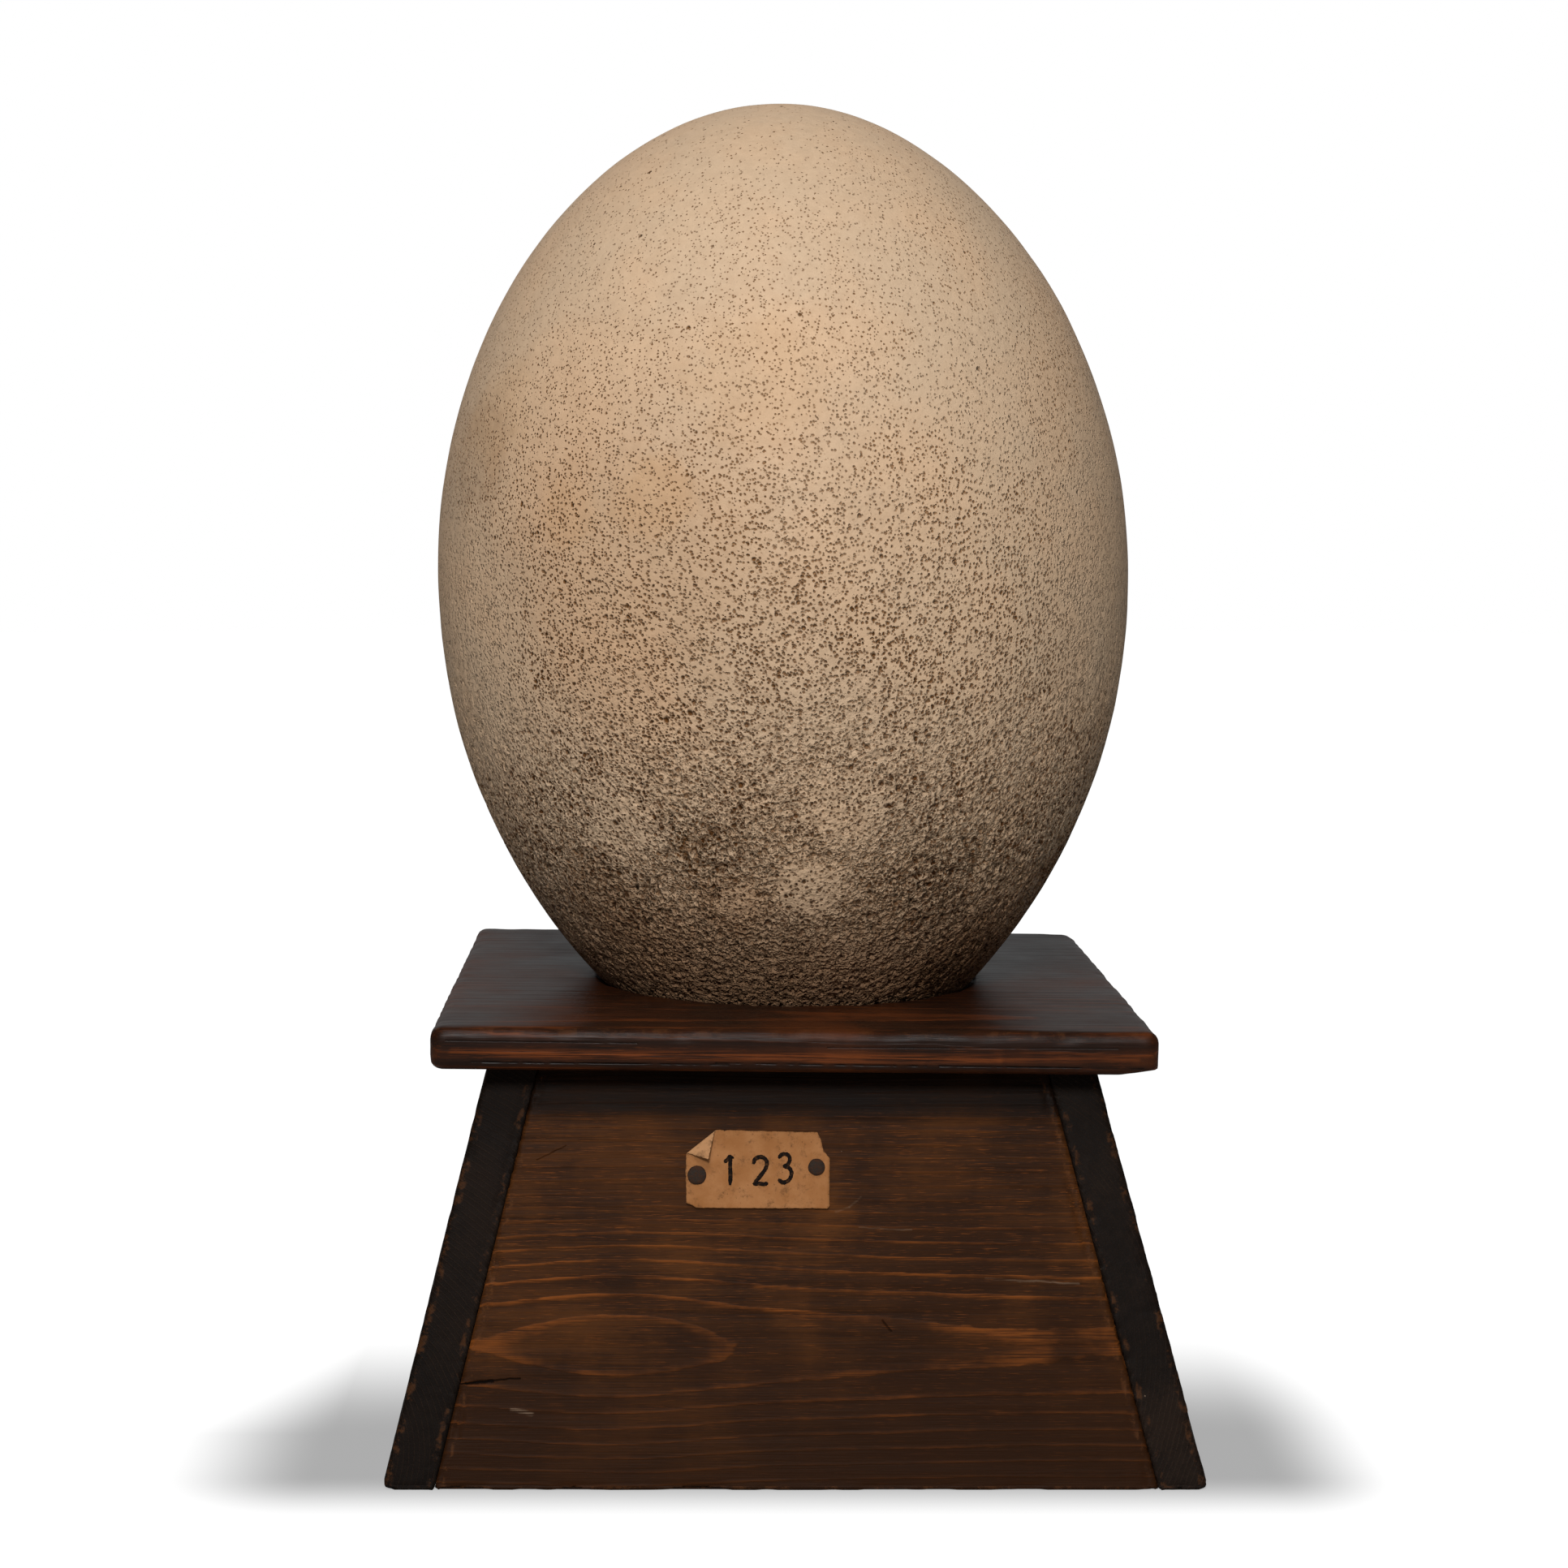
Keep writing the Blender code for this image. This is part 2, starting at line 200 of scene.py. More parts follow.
def step(value, low, high, to_low=0.0, to_high=1.0):
    """A smooth rise from to_low at low to to_high at high."""
    node = Graph(value.id_data).add("ShaderNodeMapRange", {
        "Value": value, "From Min": low, "From Max": high, "To Min": to_low, "To Max": to_high},
        interpolation_type="SMOOTHSTEP")
    return node.outputs[0]


def new_group(name, vectors, values, results):
    """An empty node group; vectors and values name its inputs and their defaults."""
    tree = bpy.data.node_groups.new(name, "ShaderNodeTree")
    for kind, inputs in (("Vector", {"Vector": (0, 0, 0), **vectors}), ("Float", values)):
        for label, value in inputs.items():
            socket = tree.interface.new_socket(
                name=label, in_out="INPUT", socket_type="NodeSocket" + kind)
            socket.default_value = value
    for label in results:
        tree.interface.new_socket(name=label, in_out="OUTPUT", socket_type="NodeSocketFloat")
    graph = Graph(tree)
    return graph, graph.add("NodeGroupInput").outputs, graph.add("NodeGroupOutput").inputs


def make_speckles_group():
    """Round marks scattered through a solid: pores, flecks and specks of dust."""
    graph, given, result = new_group(
        "speckles", {}, {"Cell": 0.002, "Radius": 0.0004, "Share": 1.0, "Softness": 0.35},
        ("Mask", "Bowl"))
    scale = compute("DIVIDE", 1.0, given["Cell"])
    cells = graph.add("ShaderNodeTexVoronoi", {"Vector": given["Vector"], "Scale": scale})
    reach = times(given["Radius"], scale)
    draw = graph.add("ShaderNodeSeparateColor", {0: cells.outputs["Color"]}).outputs
    reach = times(reach, step(draw[1], 0.0, 1.0, 0.65, 1.25))
    inner = times(reach, minus(1.0, given["Softness"]))
    dot = step(cells.outputs["Distance"], reach, inner)
    present = compute("LESS_THAN", draw[0], given["Share"])
    graph.feed(result["Mask"], times(dot, present))
    bowl = step(cells.outputs["Distance"], times(reach, 1.15), 0.0)
    graph.feed(result["Bowl"], times(bowl, present))


def make_spot_group():
    """A soft round area about a point."""
    graph, given, result = new_group("soft spot", {"Centre": (0, 0, 0)}, {"Radius": 0.02}, ("Mask",))
    away = graph.vector("DISTANCE", given["Vector"], given["Centre"])
    ragged = sway(graph.noise(given["Vector"], 0.012, 3.0), 0.9)
    away = plus(compute("DIVIDE", away, given["Radius"]), ragged)
    graph.feed(result["Mask"], step(away, 1.15, 0.55))


def make_stroke_group():
    """A straight thin mark between two points, such as a crack or a scratch."""
    graph, given, result = new_group(
        "stroke", {"From": (0, 0, 0), "To": (1, 0, 0)}, {"Width": 0.0004}, ("Mask",))
    shake = sway(graph.noise(given["Vector"], 0.004), 0.0012)
    offset = graph.add("ShaderNodeCombineXYZ", {"Y": shake}).outputs[0]
    point = graph.vector("ADD", given["Vector"], offset)
    run = graph.vector("SUBTRACT", given["To"], given["From"])
    lead = graph.vector("SUBTRACT", point, given["From"])
    along = graph.vector("DOT_PRODUCT", lead, run)
    share = compute("DIVIDE", along, graph.vector("DOT_PRODUCT", run, run), clamp=True)
    nearest = graph.add("ShaderNodeVectorMath", {0: run, 3: share}, operation="SCALE").outputs[0]
    away = graph.vector("DISTANCE", lead, nearest)
    graph.feed(result["Mask"], step(away, given["Width"], 0.0))


def make_fibre_group():
    """Streaks along local X, the way wood fibre runs."""
    graph, given, result = new_group("fibre", {}, {"Length": 0.04, "Width": 0.0008}, ("Streak",))
    along = compute("DIVIDE", 1.0, given["Length"])
    across = compute("DIVIDE", 1.0, given["Width"])
    stretch = graph.add("ShaderNodeCombineXYZ", {"X": along, "Y": across, "Z": across}).outputs[0]
    point = graph.vector("MULTIPLY", given["Vector"], stretch)
    graph.feed(result["Streak"], graph.noise(point, 1.0, 3.0, 0.6))


def make_rings_group():
    """Growth rings about a pith that runs nearly along local X; Line is each ring's late wood."""
    graph, given, result = new_group(
        "growth rings", {},
        {"Pith Across": 0.0, "Pith Depth": -0.03, "Taper": 0.0, "Spacing": 0.004, "Wander": 0.002,
         "Bulge At": 0.0, "Bulge Width": 0.054, "Bulge Height": 0.0},
        ("Line", "Season"))
    part = graph.parts(given["Vector"])
    slow = graph.vector("MULTIPLY", given["Vector"], (10.0, 32.0, 32.0))
    swing = graph.add("ShaderNodeSeparateColor", {0: graph.noise(slow, 1.0, output="Color")}).outputs
    quick = graph.vector("MULTIPLY", given["Vector"], (160.0, 420.0, 420.0))
    fray = graph.noise(quick, 1.0)
    across = plus(minus(part[1], given["Pith Across"]), sway(swing[0], given["Wander"]))
    inwards = sway(swing[1], given["Wander"])
    rise = times(part[0], given["Taper"])
    reach = compute("DIVIDE", minus(part[0], given["Bulge At"]), given["Bulge Width"])
    reach = compute("POWER", compute("ABSOLUTE", reach), 2.0)
    sink = times(compute("DIVIDE", reach, plus(reach, 1.0)), given["Bulge Height"])
    depth = plus(minus(part[2], given["Pith Depth"]), rise, sink, inwards)
    square = plus(compute("POWER", across, 2.0), compute("POWER", depth, 2.0))
    radius = plus(compute("SQRT", square), sway(fray, 0.0006))
    season = compute("FRACT", compute("DIVIDE", radius, given["Spacing"]))
    line = times(step(season, 0.74, 0.94), step(season, 1.0, 0.96))
    graph.feed(result["Line"], line)
    graph.feed(result["Season"], season)


def make_groups():
    if "speckles" in bpy.data.node_groups:
        return
    make_speckles_group()
    make_spot_group()
    make_stroke_group()
    make_fibre_group()
    make_rings_group()


def new_material(name):
    """The graph of a new material, with the material and its Principled shader at hand."""
    material = bpy.data.materials.new(name)
    material.use_nodes = True
    graph = Graph(material.node_tree)
    graph.material = material
    graph.shader = material.node_tree.nodes["Principled BSDF"]
    return graph


def finish_surface(graph, roughness, sheen, relief, depth):
    """Joins the painted tone, roughness, specular level and relief to the shader; depth is in metres."""
    inputs = graph.shader.inputs
    graph.feed(inputs["Base Color"], graph.tone)
    graph.feed(inputs["Roughness"], roughness)
    inputs["Specular IOR Level"].default_value = sheen
    bump = graph.add(
        "ShaderNodeBump", {"Height": relief, "Distance": depth, "Strength": 1.0, "Filter Width": 0.5})
    graph.feed(inputs["Normal"], bump.outputs[0])
    return graph.material


def speckles(place, cell, radius, share, softness):
    """Scattered round marks, one at most in each cell; sizes in metres."""
    return Graph(place.id_data).group(
        "speckles", Vector=place, Cell=cell, Radius=radius, Share=share, Softness=softness)


def streaks(place, length, width):
    """Streaks along the grain, sizes in mm."""
    graph = Graph(place.id_data)
    return graph.group("fibre", Vector=place, Length=length * MM, Width=width * MM)["Streak"]


def patches(place, spots):
    """The strongest of several soft spots given as (centre in mm, radius in mm, strength)."""
    graph = Graph(place.id_data)
    masks = []
    for centre, radius, strength in spots:
        spot = graph.group("soft spot", Vector=place, Centre=Vector(centre) * MM, Radius=radius * MM)
        masks.append(times(spot["Mask"], strength))
    return most(*masks)


def shell_material(settings):
    graph = new_material("eggshell")
    place = graph.place()
    height = graph.parts(place)[2]
    low = step(height, 0.050, -0.090)
    very_low = step(height, -0.010, -0.110)
    foot = step(height, -0.085, -0.128)
    dirty = patches(place, DIRTY_PATCHES)
    cloud = graph.noise(place, 0.050, 4.0, 0.6)
    open_share = minus(1.0, patches(place, CLEAN_PATCHES))

    # Three sizes of pore, then worm-eaten hollows and clods of earth
    dry = patches(place, DRY_PATCHES)
    fine_share = step(plus(cloud, times(low, 0.35)), 0.25, 0.62, 0.60, 1.0)
    top_fade = step(height, 0.158, 0.110, 0.20, 1.0)
    shake = graph.noise(place, 1.25 * MM, 1.0, output="Color")
    little, much = (graph.vector("MULTIPLY_ADD", shake, (reach * MM,) * 3, place) for reach in (0.4, 0.9))
    pore_radius = step(height, 0.110, -0.010, 0.32 * MM, 0.49 * MM)
    fine = speckles(little, 1.20 * MM, pore_radius, times(fine_share, top_fade), 0.45)
    beside = graph.vector("ADD", much, (0.61 * MM, 0.43 * MM, 0.77 * MM))
    second_share = times(step(height, 0.110, -0.040, 0.80, 1.0), times(open_share, top_fade))
    second = speckles(beside, 1.36 * MM, pore_radius, second_share, 0.45)
    middle_share = times(plus(times(low, 0.88), 0.004), open_share)
    middle = speckles(much, 1.60 * MM, 0.64 * MM, middle_share, 0.5)
    large_share = times(very_low, open_share)
    large = speckles(much, 2.4 * MM, 0.98 * MM, times(large_share, 0.8), 0.5)
    worms = graph.noise(place, 1.6 * MM, 2.0, 0.5, 0.3)
    worm_mark = times(step(worms, 0.50, 0.62), large_share)
    worm_relief = times(step(worms, 0.36, 0.70), large_share)
    clods = graph.noise(place, 3.0 * MM, 2.0, 0.5, 0.4)
    clod_mark = times(step(clods, 0.50, 0.60), step(dirty, 0.50, 1.0))
    small_bowls = most(fine["Bowl"], second["Bowl"])
    small_bowls = times(small_bowls, step(height, 0.110, -0.010, 0.26, 0.42))
    hollow = most(small_bowls, times(middle["Bowl"], 0.75), large["Bowl"])
    hollow = plus(hollow, worm_relief, times(clod_mark, 0.5))

    graph.tone = graph.mix(step(cloud, 0.35, 0.68), settings.shell_cool, settings.shell_warm)
    graph.paint(settings.ochre, patches(place, OCHRE_PATCHES), 0.55)
    mottle = graph.noise(place, 3.5 * MM, 3.0, 0.6)
    graph.paint(settings.foot_tint, patches(place, TAN_PATCHES), 0.30, blend="MULTIPLY")
    graph.paint(settings.stain, step(mottle, 0.3, 0.7, 0.0, 0.10))
    grime = plus(times(patches(place, BROWN_PATCHES), 0.55), times(foot, 0.34))
    graph.paint(settings.stain, grime, step(mottle, 0.2, 0.8, 0.6, 1.0))

    dirt_cloud = step(graph.noise(place, 0.026, 3.0, 0.6), 0.36, 0.60, 0.70, 1.0)
    washed = step(height, -0.080, -0.120, 1.0, 0.45)
    dirt_share = most(times(dirt_cloud, washed), dirty)
    dirt_share = times(dirt_share, step(dry, 0.0, 1.0, 1.0, 0.14))
    # Earth in the pores and pits, darker with pit depth: partly real earth and partly painted shade
    # inside the hollows
    pore_dirt_and_shade = most(
        middle["Mask"], large["Mask"], times(second["Mask"], 0.8), times(clod_mark, 0.65),
        times(fine["Mask"], 0.85), times(graph.attribute("pit"), 0.22))
    pore_dirt_and_shade = times(pore_dirt_and_shade, times(dirt_share, settings.dirt_strength))
    depth = times(low, step(dirt_cloud, 0.70, 1.0, 0.35, 1.0))
    pit_dirt_and_shade_tone = graph.mix(depth, settings.pore_dirt_and_shade, settings.dark_dirt_and_pit_shade)
    graph.paint(settings.pore_dirt_and_shade, worm_mark, dirt_share, 0.48)
    graph.paint(pit_dirt_and_shade_tone, pore_dirt_and_shade)
    graph.paint(settings.foot_tint, step(height, -0.072, -0.128, 0.0, 0.75), blend="MULTIPLY")
    grit = graph.noise(place, 0.7 * MM, 2.0, 0.6)
    relief = plus(times(hollow, -1.0), times(grit, 0.06), times(mottle, 0.16))
    roughness = step(pore_dirt_and_shade, 0.0, 1.0, 0.52, 0.85)
    return finish_surface(graph, roughness, 0.12, relief, settings.pore_depth)


def wood_material(
        name, settings, rings, tones, lines, roughness, sheen, marks=(), fade=(0.5, 0.6), foot=0.0,
        shades=()):
    """Stained pine; tones are (dark, mid, line), foot darkens the low edge and also paints the shade
    under the top board's overhang.
    """
    graph = new_material(name)
    dark, mid, line_tone = tones
    place = graph.place()
    ring = graph.group("growth rings", Vector=place, **rings)
    thin = streaks(place, 26, 0.45)
    broad = streaks(place, 95, 3.2)
    blotch = graph.noise(place, 0.030, 4.0, 0.6)
    body = plus(times(thin, 0.40), times(broad, 0.35), times(blotch, 0.80))
    graph.tone = graph.mix(step(body, 0.60, 0.92), dark, mid)
    graph.paint(dark, step(graph.noise(place, 0.055, 3.0, 0.55), 0.62, 0.40, 0.0, 0.55))
    if shades:
        graph.paint(dark, patches(place, shades))
    graph.paint(mid, ring["Season"], step(broad, 0.35, 0.65), 0.18)
    across = graph.parts(place)[1]
    graph.paint(
        line_tone, ring["Line"], step(thin, 0.30, 0.62), step(blotch, 0.36, 0.60, 0.15, 1.0),
        step(across, *fade, 1.0, 0.12), lines)
    graph.paint(line_tone, step(streaks(place, 7, 0.28), 0.58, 0.70, 0.0, 0.45))
    graph.paint(dark, step(streaks(place, 9, 0.35), 0.57, 0.68, 0.0, 0.55))
    graph.paint(dark, step(plus(across, sway(blotch, 0.04)), 0.082, 0.002, 0.0, foot))
    # Painted shade: a dark band in the crack colour along the board's top, under the top board's overhang
    graph.paint(settings.crack, step(across, 0.110, 0.117, 0.0, foot))
    graph.paint(dark, speckles(place, 7 * MM, 1.3 * MM, 0.35, 0.9)["Mask"], 0.35)
    relief = plus(times(thin, 0.7), times(ring["Line"], 0.35), times(blotch, 0.2))

    patchy = step(graph.noise(place, 0.007, 5.0, 0.75), 0.50, 0.62)
    graph.paint(settings.worn_wood, step(graph.attribute("wear"), 0.45, 0.95), patchy, settings.edge_wear)
    mark_tones = {"scratch": settings.scratch, "crack": settings.crack, "glow": line_tone, "shade": dark}
    for kind, start, end, width, strength in marks:
        start, end = Vector(start) * MM, Vector(end) * MM
        stroke = graph.group("stroke", Vector=place, From=start, To=end, Width=width * MM)
        mark = times(stroke["Mask"], strength)
        if kind in {"scratch", "glow"}:
            mark = times(mark, step(thin, 0.40, 0.55))
        graph.paint(mark_tones[kind], mark)
        if kind == "crack":
            relief = minus(relief, times(mark, 3.0))
    graph.paint(settings.scratch, speckles(place, 11 * MM, 0.22 * MM, 0.5, 0.3)["Mask"], 0.6)
    matte = plus(times(thin, 0.25), times(blotch, 0.25), roughness - 0.25)
    return finish_surface(graph, matte, sheen, relief, settings.grain_depth)


def paper_material(settings):
    graph = new_material("old_paper")
    place = graph.place()
    cloud = graph.noise(place, 0.009, 4.0, 0.6)
    fine = graph.noise(place, 0.0009, 3.0, 0.7)
    graph.tone = graph.mix(step(cloud, 0.32, 0.68), settings.paper_dark, settings.paper)
    graph.paint(settings.paper_dark, step(fine, 0.25, 0.75, 0.0, 0.25))
    graph.paint(settings.paper_back, graph.attribute("flap"))
    ragged = plus(graph.attribute("rim"), sway(fine, 1.6))
    graph.paint(settings.paper_dirt, step(ragged, 0.75, 1.15, 0.0, 0.75))
    stain = graph.noise(place, 0.0040, 6.0, 0.82)
    graph.paint(settings.paper_dirt, step(stain, 0.50, 0.68), 0.60)
    flecks = speckles(place, 1.3 * MM, 0.26 * MM, step(stain, 0.40, 0.60, 0.15, 0.95), 0.6)
    graph.paint(settings.paper_dirt, flecks["Mask"], 0.6)
    smudge = patches(place, (((-28.2, 99.6, 1.5), 2.6, 1.0),))
    graph.paint(settings.paper_dirt, smudge, graph.attribute("flap"), step(fine, 0.35, 0.6), 0.8)
    return finish_surface(graph, 0.8, 0.2, plus(times(fine, 0.5), stain), 0.15 * MM)


def ink_material(settings):
    graph = new_material("ink")
    dry = graph.noise(graph.place(), 0.0011, 3.0, 0.6)
    graph.tone = graph.mix(step(dry, 0.50, 0.75, 0.0, 0.2), settings.ink, settings.paper_dark)
    return finish_surface(graph, 0.8, 0.06, dry, 0.04 * MM)


def iron_material(settings):
    graph = new_material("tack_iron")
    rust = graph.noise(graph.place(), 0.0016, 4.0, 0.7)
    graph.tone = graph.mix(step(rust, 0.42, 0.62), settings.iron, settings.rust)
    return finish_surface(graph, step(rust, 0.3, 0.7, 0.65, 0.9), 0.15, rust, 0.5 * MM)


def floor_material(settings):
    """White floor with a soft painted shadow close to the stand; it throws little light back."""
    graph = new_material("studio_floor")
    inputs = graph.shader.inputs
    inputs["Roughness"].default_value = 0.9
    inputs["Specular IOR Level"].default_value = 0.0
    # Painted shadow: the glow the camera sees drops to the painted floor shadow in a soft pool beside and
    # in front of the stand
    left_rate, right_rate, behind_rate, before_rate = 17.5, 22.5, 7.4, 21.0
    side_edge, back_edge, front_edge = 0.146, -0.068, -0.110
    part = graph.parts(graph.place())
    right = compute("GREATER_THAN", part[0], 0.0)
    rate = plus(times(right, right_rate - left_rate), left_rate)
    beside = most(times(minus(compute("ABSOLUTE", part[0]), side_edge), rate), 0.0)
    behind = most(times(minus(part[1], back_edge), behind_rate), 0.0)
    before = most(times(minus(front_edge, part[1]), before_rate), 0.0)
    wedge = times(behind, minus(1.0, right))
    away = graph.add("ShaderNodeCombineXYZ", {
        0: plus(beside, wedge), 1: times(behind, right), 2: before}).outputs[0]
    glow = step(graph.vector("LENGTH", away), 0.0, 1.0, settings.painted_floor_shadow, 1.0)
    seen = graph.add("ShaderNodeLightPath").outputs["Is Camera Ray"]
    inputs["Emission Color"].default_value = (1.0, 1.0, 1.0, 1.0)
    graph.feed(inputs["Emission Strength"], times(glow, seen))
    graph.feed(inputs["Base Color"], graph.mix(seen, settings.floor, settings.floor_seen))
    return graph.material


def place_object(name, data):
    thing = bpy.data.objects.new(name, data)
    bpy.context.scene.collection.objects.link(thing)
    return thing


def add_piece(name, mesh, material, matrix):
    mesh.materials.clear()
    mesh.materials.append(material)
    mesh.shade_smooth()
    piece = place_object(name, mesh)
    piece.matrix_world = matrix
    return piece


def dress(piece, slot, *nodes):
    """Hangs a piece on the body and hides the nodes it stands in for."""
    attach(piece, "root")
    if nodes:
        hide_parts(*nodes)


def take_mesh(form, name):
    """Turns a working form into a mesh and frees the form."""
    mesh = bpy.data.meshes.new(name)
    form.to_mesh(mesh)
    form.free()
    return mesh


def store(mesh, name, values):
    layer = mesh.attributes.new(name, "FLOAT", "POINT")
    layer.data.foreach_set("value", np.asarray(values, np.float32))


def egg_form(u):
    """Radius of the turned form at height u, -1 at its foot and 1 at its top."""
    swell = 1.0
    power = u
    for term in EGG_FORM_TERMS:
        swell += term * power
        power *= u
    return math.sqrt(max(0.0, 1.0 - u * u)) * swell


EGG_FORM_PEAK = max(egg_form(i / 500 - 1.0) for i in range(1001))


def shell_point(direction):
    u = max(-1.0, min(1.0, direction.z))
    around = math.hypot(direction.x, direction.y)
    if around < 1e-9:
        return Vector((0.0, 0.0, u * EGG_HALF_LENGTH))
    radius = EGG_RADIUS * egg_form(u) / EGG_FORM_PEAK
    return Vector((direction.x / around * radius, direction.y / around * radius, u * EGG_HALF_LENGTH))


def nearness(point, spots):
    """How far inside the strongest of several patches a point lies, 0 to 1."""
    best = 0.0
    for centre, radius, strength in spots:
        away = (point - Vector(centre) * MM).length / (radius * MM)
        best = max(best, strength * min(1.0, max(0.0, 1.3 - away)))
    return best


def pit_depth(point, settings, draw):
    """Depth of the worn pits at a point of the shell, as a share of the deepest."""
    full_below, cloud_size, worm_size, worm_start, lone_share = 0.55, 0.030, 0.0030, 0.12, 0.22
    height = point.z / EGG_HALF_LENGTH
    if height > settings.pit_top:
        return 0.0
    lowness = min(1.0, (settings.pit_top - height) / full_below)
    cloud = 0.5 + 0.5 * noise.noise(point / cloud_size)
    clean = nearness(point, CLEAN_PATCHES)
    dirty = nearness(point, DIRTY_PATCHES)
    amount = lowness * (0.45 + 0.55 * cloud) * (1.0 - 0.9 * clean) + 0.45 * dirty
    worm = max(0.0, noise.noise(point / worm_size) - worm_start) * 0.9
    lone = 0.4 + 0.6 * draw.random() if draw.random() < lone_share * amount else 0.0
    return min(1.0, amount * worm + lone * (0.3 + 0.7 * amount))


def make_shell_mesh(settings):
    lowest_worn, highest_worn = -0.78, 0.06
    jitter, bend_size, bend_height = 0.28 * MM, 0.055, 0.4 * MM
    ripple_size, ripple_height = 0.011, 0.12 * MM
    form = bmesh.new()
    bmesh.ops.create_icosphere(form, subdivisions=settings.mesh_levels, radius=1.0)
    worn = [e for e in form.edges if all(lowest_worn < v.co.z < highest_worn for v in e.verts)]
    bmesh.ops.subdivide_edges(form, edges=worn, cuts=1, use_grid_fill=True)
    bmesh.ops.triangulate(form, faces=form.faces)
    draw = random.Random(11)
    for vert in form.verts:
        vert.co = shell_point(vert.co.normalized())
    form.normal_update()
    normals = [v.normal.copy() for v in form.verts]
    depths = []
    for vert, normal in zip(form.verts, normals):
        point = vert.co.copy()
        depth = pit_depth(point, settings, draw)
        depths.append(depth)
        bend = (noise.noise(point / bend_size) - 0.5) * bend_height
        ripple = (noise.noise(point / ripple_size) - 0.5) * ripple_height
        side = Vector((draw.uniform(-1, 1), draw.uniform(-1, 1), draw.uniform(-1, 1))) * jitter
        side -= normal * side.dot(normal)
        vert.co = point + side + normal * (bend + ripple - depth * settings.pit_depth)
    mesh = take_mesh(form, "egg_shell")
    store(mesh, "pit", depths)
    return mesh


def dense_copy(node, voxel):
    """A node's surface as a fine even mesh that can be worn."""
    form = bmesh.new()
    form.from_mesh(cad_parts[node].data)
    bmesh.ops.remove_doubles(form, verts=form.verts, dist=0.002 * MM)
    helper = place_object(node + "_helper", take_mesh(form, node + "_welded"))
    even = helper.modifiers.new("even", "REMESH")
    even.mode = "VOXEL"
    even.voxel_size = voxel
    hold = helper.modifiers.new("hold", "SHRINKWRAP")
    hold.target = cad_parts[node]
    bpy.context.view_layer.update()
    finished = helper.evaluated_get(bpy.context.evaluated_depsgraph_get())
    result = bpy.data.meshes.new_from_object(finished)
    bpy.data.objects.remove(helper)
    return result


def vertex_directions(mesh):
    normals = np.empty(len(mesh.vertices) * 3, np.float32)
    mesh.vertex_normals.foreach_get("vector", normals)
    return normals.reshape(-1, 3)


def edge_sharpness(mesh, rounds=3, gain=30.0):
    """0 on flats, 1 on edges: how much a vertex normal differs from its neighbourhood's."""
    pairs = np.empty(len(mesh.edges) * 2, np.int32)
    mesh.edges.foreach_get("vertices", pairs)
    pairs = pairs.reshape(-1, 2)
    mean = vertex_directions(mesh)
    for _ in range(rounds):
        total = mean.copy()
        np.add.at(total, pairs[:, 0], mean[pairs[:, 1]])
        np.add.at(total, pairs[:, 1], mean[pairs[:, 0]])
        mean = total / np.maximum(np.linalg.norm(total, axis=1, keepdims=True), 1e-9)
    spread = np.zeros(len(mean), np.float32)
    across = 1.0 - np.einsum("ij,ij->i", mean[pairs[:, 0]], mean[pairs[:, 1]])
    np.maximum.at(spread, pairs[:, 0], across)
    np.maximum.at(spread, pairs[:, 1], across)
    return np.clip(spread * gain, 0.0, 1.0)


def wear_board(mesh, settings, seed, butted):
    """Sinks hollows, furrows and rubbed edges into the outer faces; butted ends close their joint."""
    rub_limit, joint_limit, inside_limit = 0.15, 0.7, -0.3
    sharp = edge_sharpness(mesh)
    facing = vertex_directions(mesh)
    sharp[facing[:, 2] < -rub_limit] = 0.0
    if butted:
        sharp[np.abs(facing[:, 0]) > rub_limit] = 0.0
    shift = Vector((seed * 0.37, seed * 0.19, seed * 0.53))
    hollow_size, rub_size, furrow_length, furrow_width = 0.035, 0.009, 0.05, 0.0025
    normals = [n.vector.copy() for n in mesh.vertex_normals]
    for vert, normal, edge in zip(mesh.vertices, normals, sharp):
        point = vert.co
        grain = Vector((point.x / furrow_length, point.y / furrow_width, point.z / furrow_width))
        hollow = 0.5 + 0.5 * noise.noise(point / hollow_size + shift)
        furrow = 0.5 + 0.5 * noise.noise(grain + shift)
        rub = max(0.0, noise.noise(point / rub_size + shift) + 0.15)
        depth = settings.hollows * hollow + settings.furrows * furrow * furrow
        depth += settings.rubbing * rub * float(edge)
        if butted and abs(normal.x) > joint_limit:
            depth = -settings.joint_fill
        elif normal.z < inside_limit:
            depth = 0.0
        vert.co = point - normal * depth
    return sharp


def frame_matrix(normal, across, origin):
    """Local Z is the face's outward normal, local Y runs across the grain, local X along it."""
    along = across.cross(normal)
    turn = Matrix((along, across, normal)).transposed().to_4x4()
    return Matrix.Translation(origin) @ turn


def wall_face(x, y):
    """Axes of the base's outer face that looks towards (x, y)."""
    rise, run = math.cos(WALL_LEAN), math.sin(WALL_LEAN)
    normal, across = Vector((x * rise, y * rise, run)), Vector((-x * run, -y * run, rise))
    return frame_matrix(normal, across, Vector((x, y, 0)) * BASE_HALF)


FRONT_FACE = wall_face(0, -1)
BACK_FACE = wall_face(0, 1)
LEFT_FACE = wall_face(-1, 0)
RIGHT_FACE = wall_face(1, 0)
TOP_FACE = frame_matrix(
    Vector((math.sin(BOARD_TILT), 0, math.cos(BOARD_TILT))), Vector((0, 1, 0)),
    Vector((0, 0, (BOARD_LOW.z + BOARD_HIGH.z) / 2)))


def make_board(node, matrix, material, slot, settings, seed, butted=False):
    mesh = dense_copy(node, settings.voxel)
    mesh.transform(matrix.inverted())
    store(mesh, "wear", wear_board(mesh, settings, seed, butted))
    dress(add_piece(node + "_worn", mesh, material, matrix), slot, node)


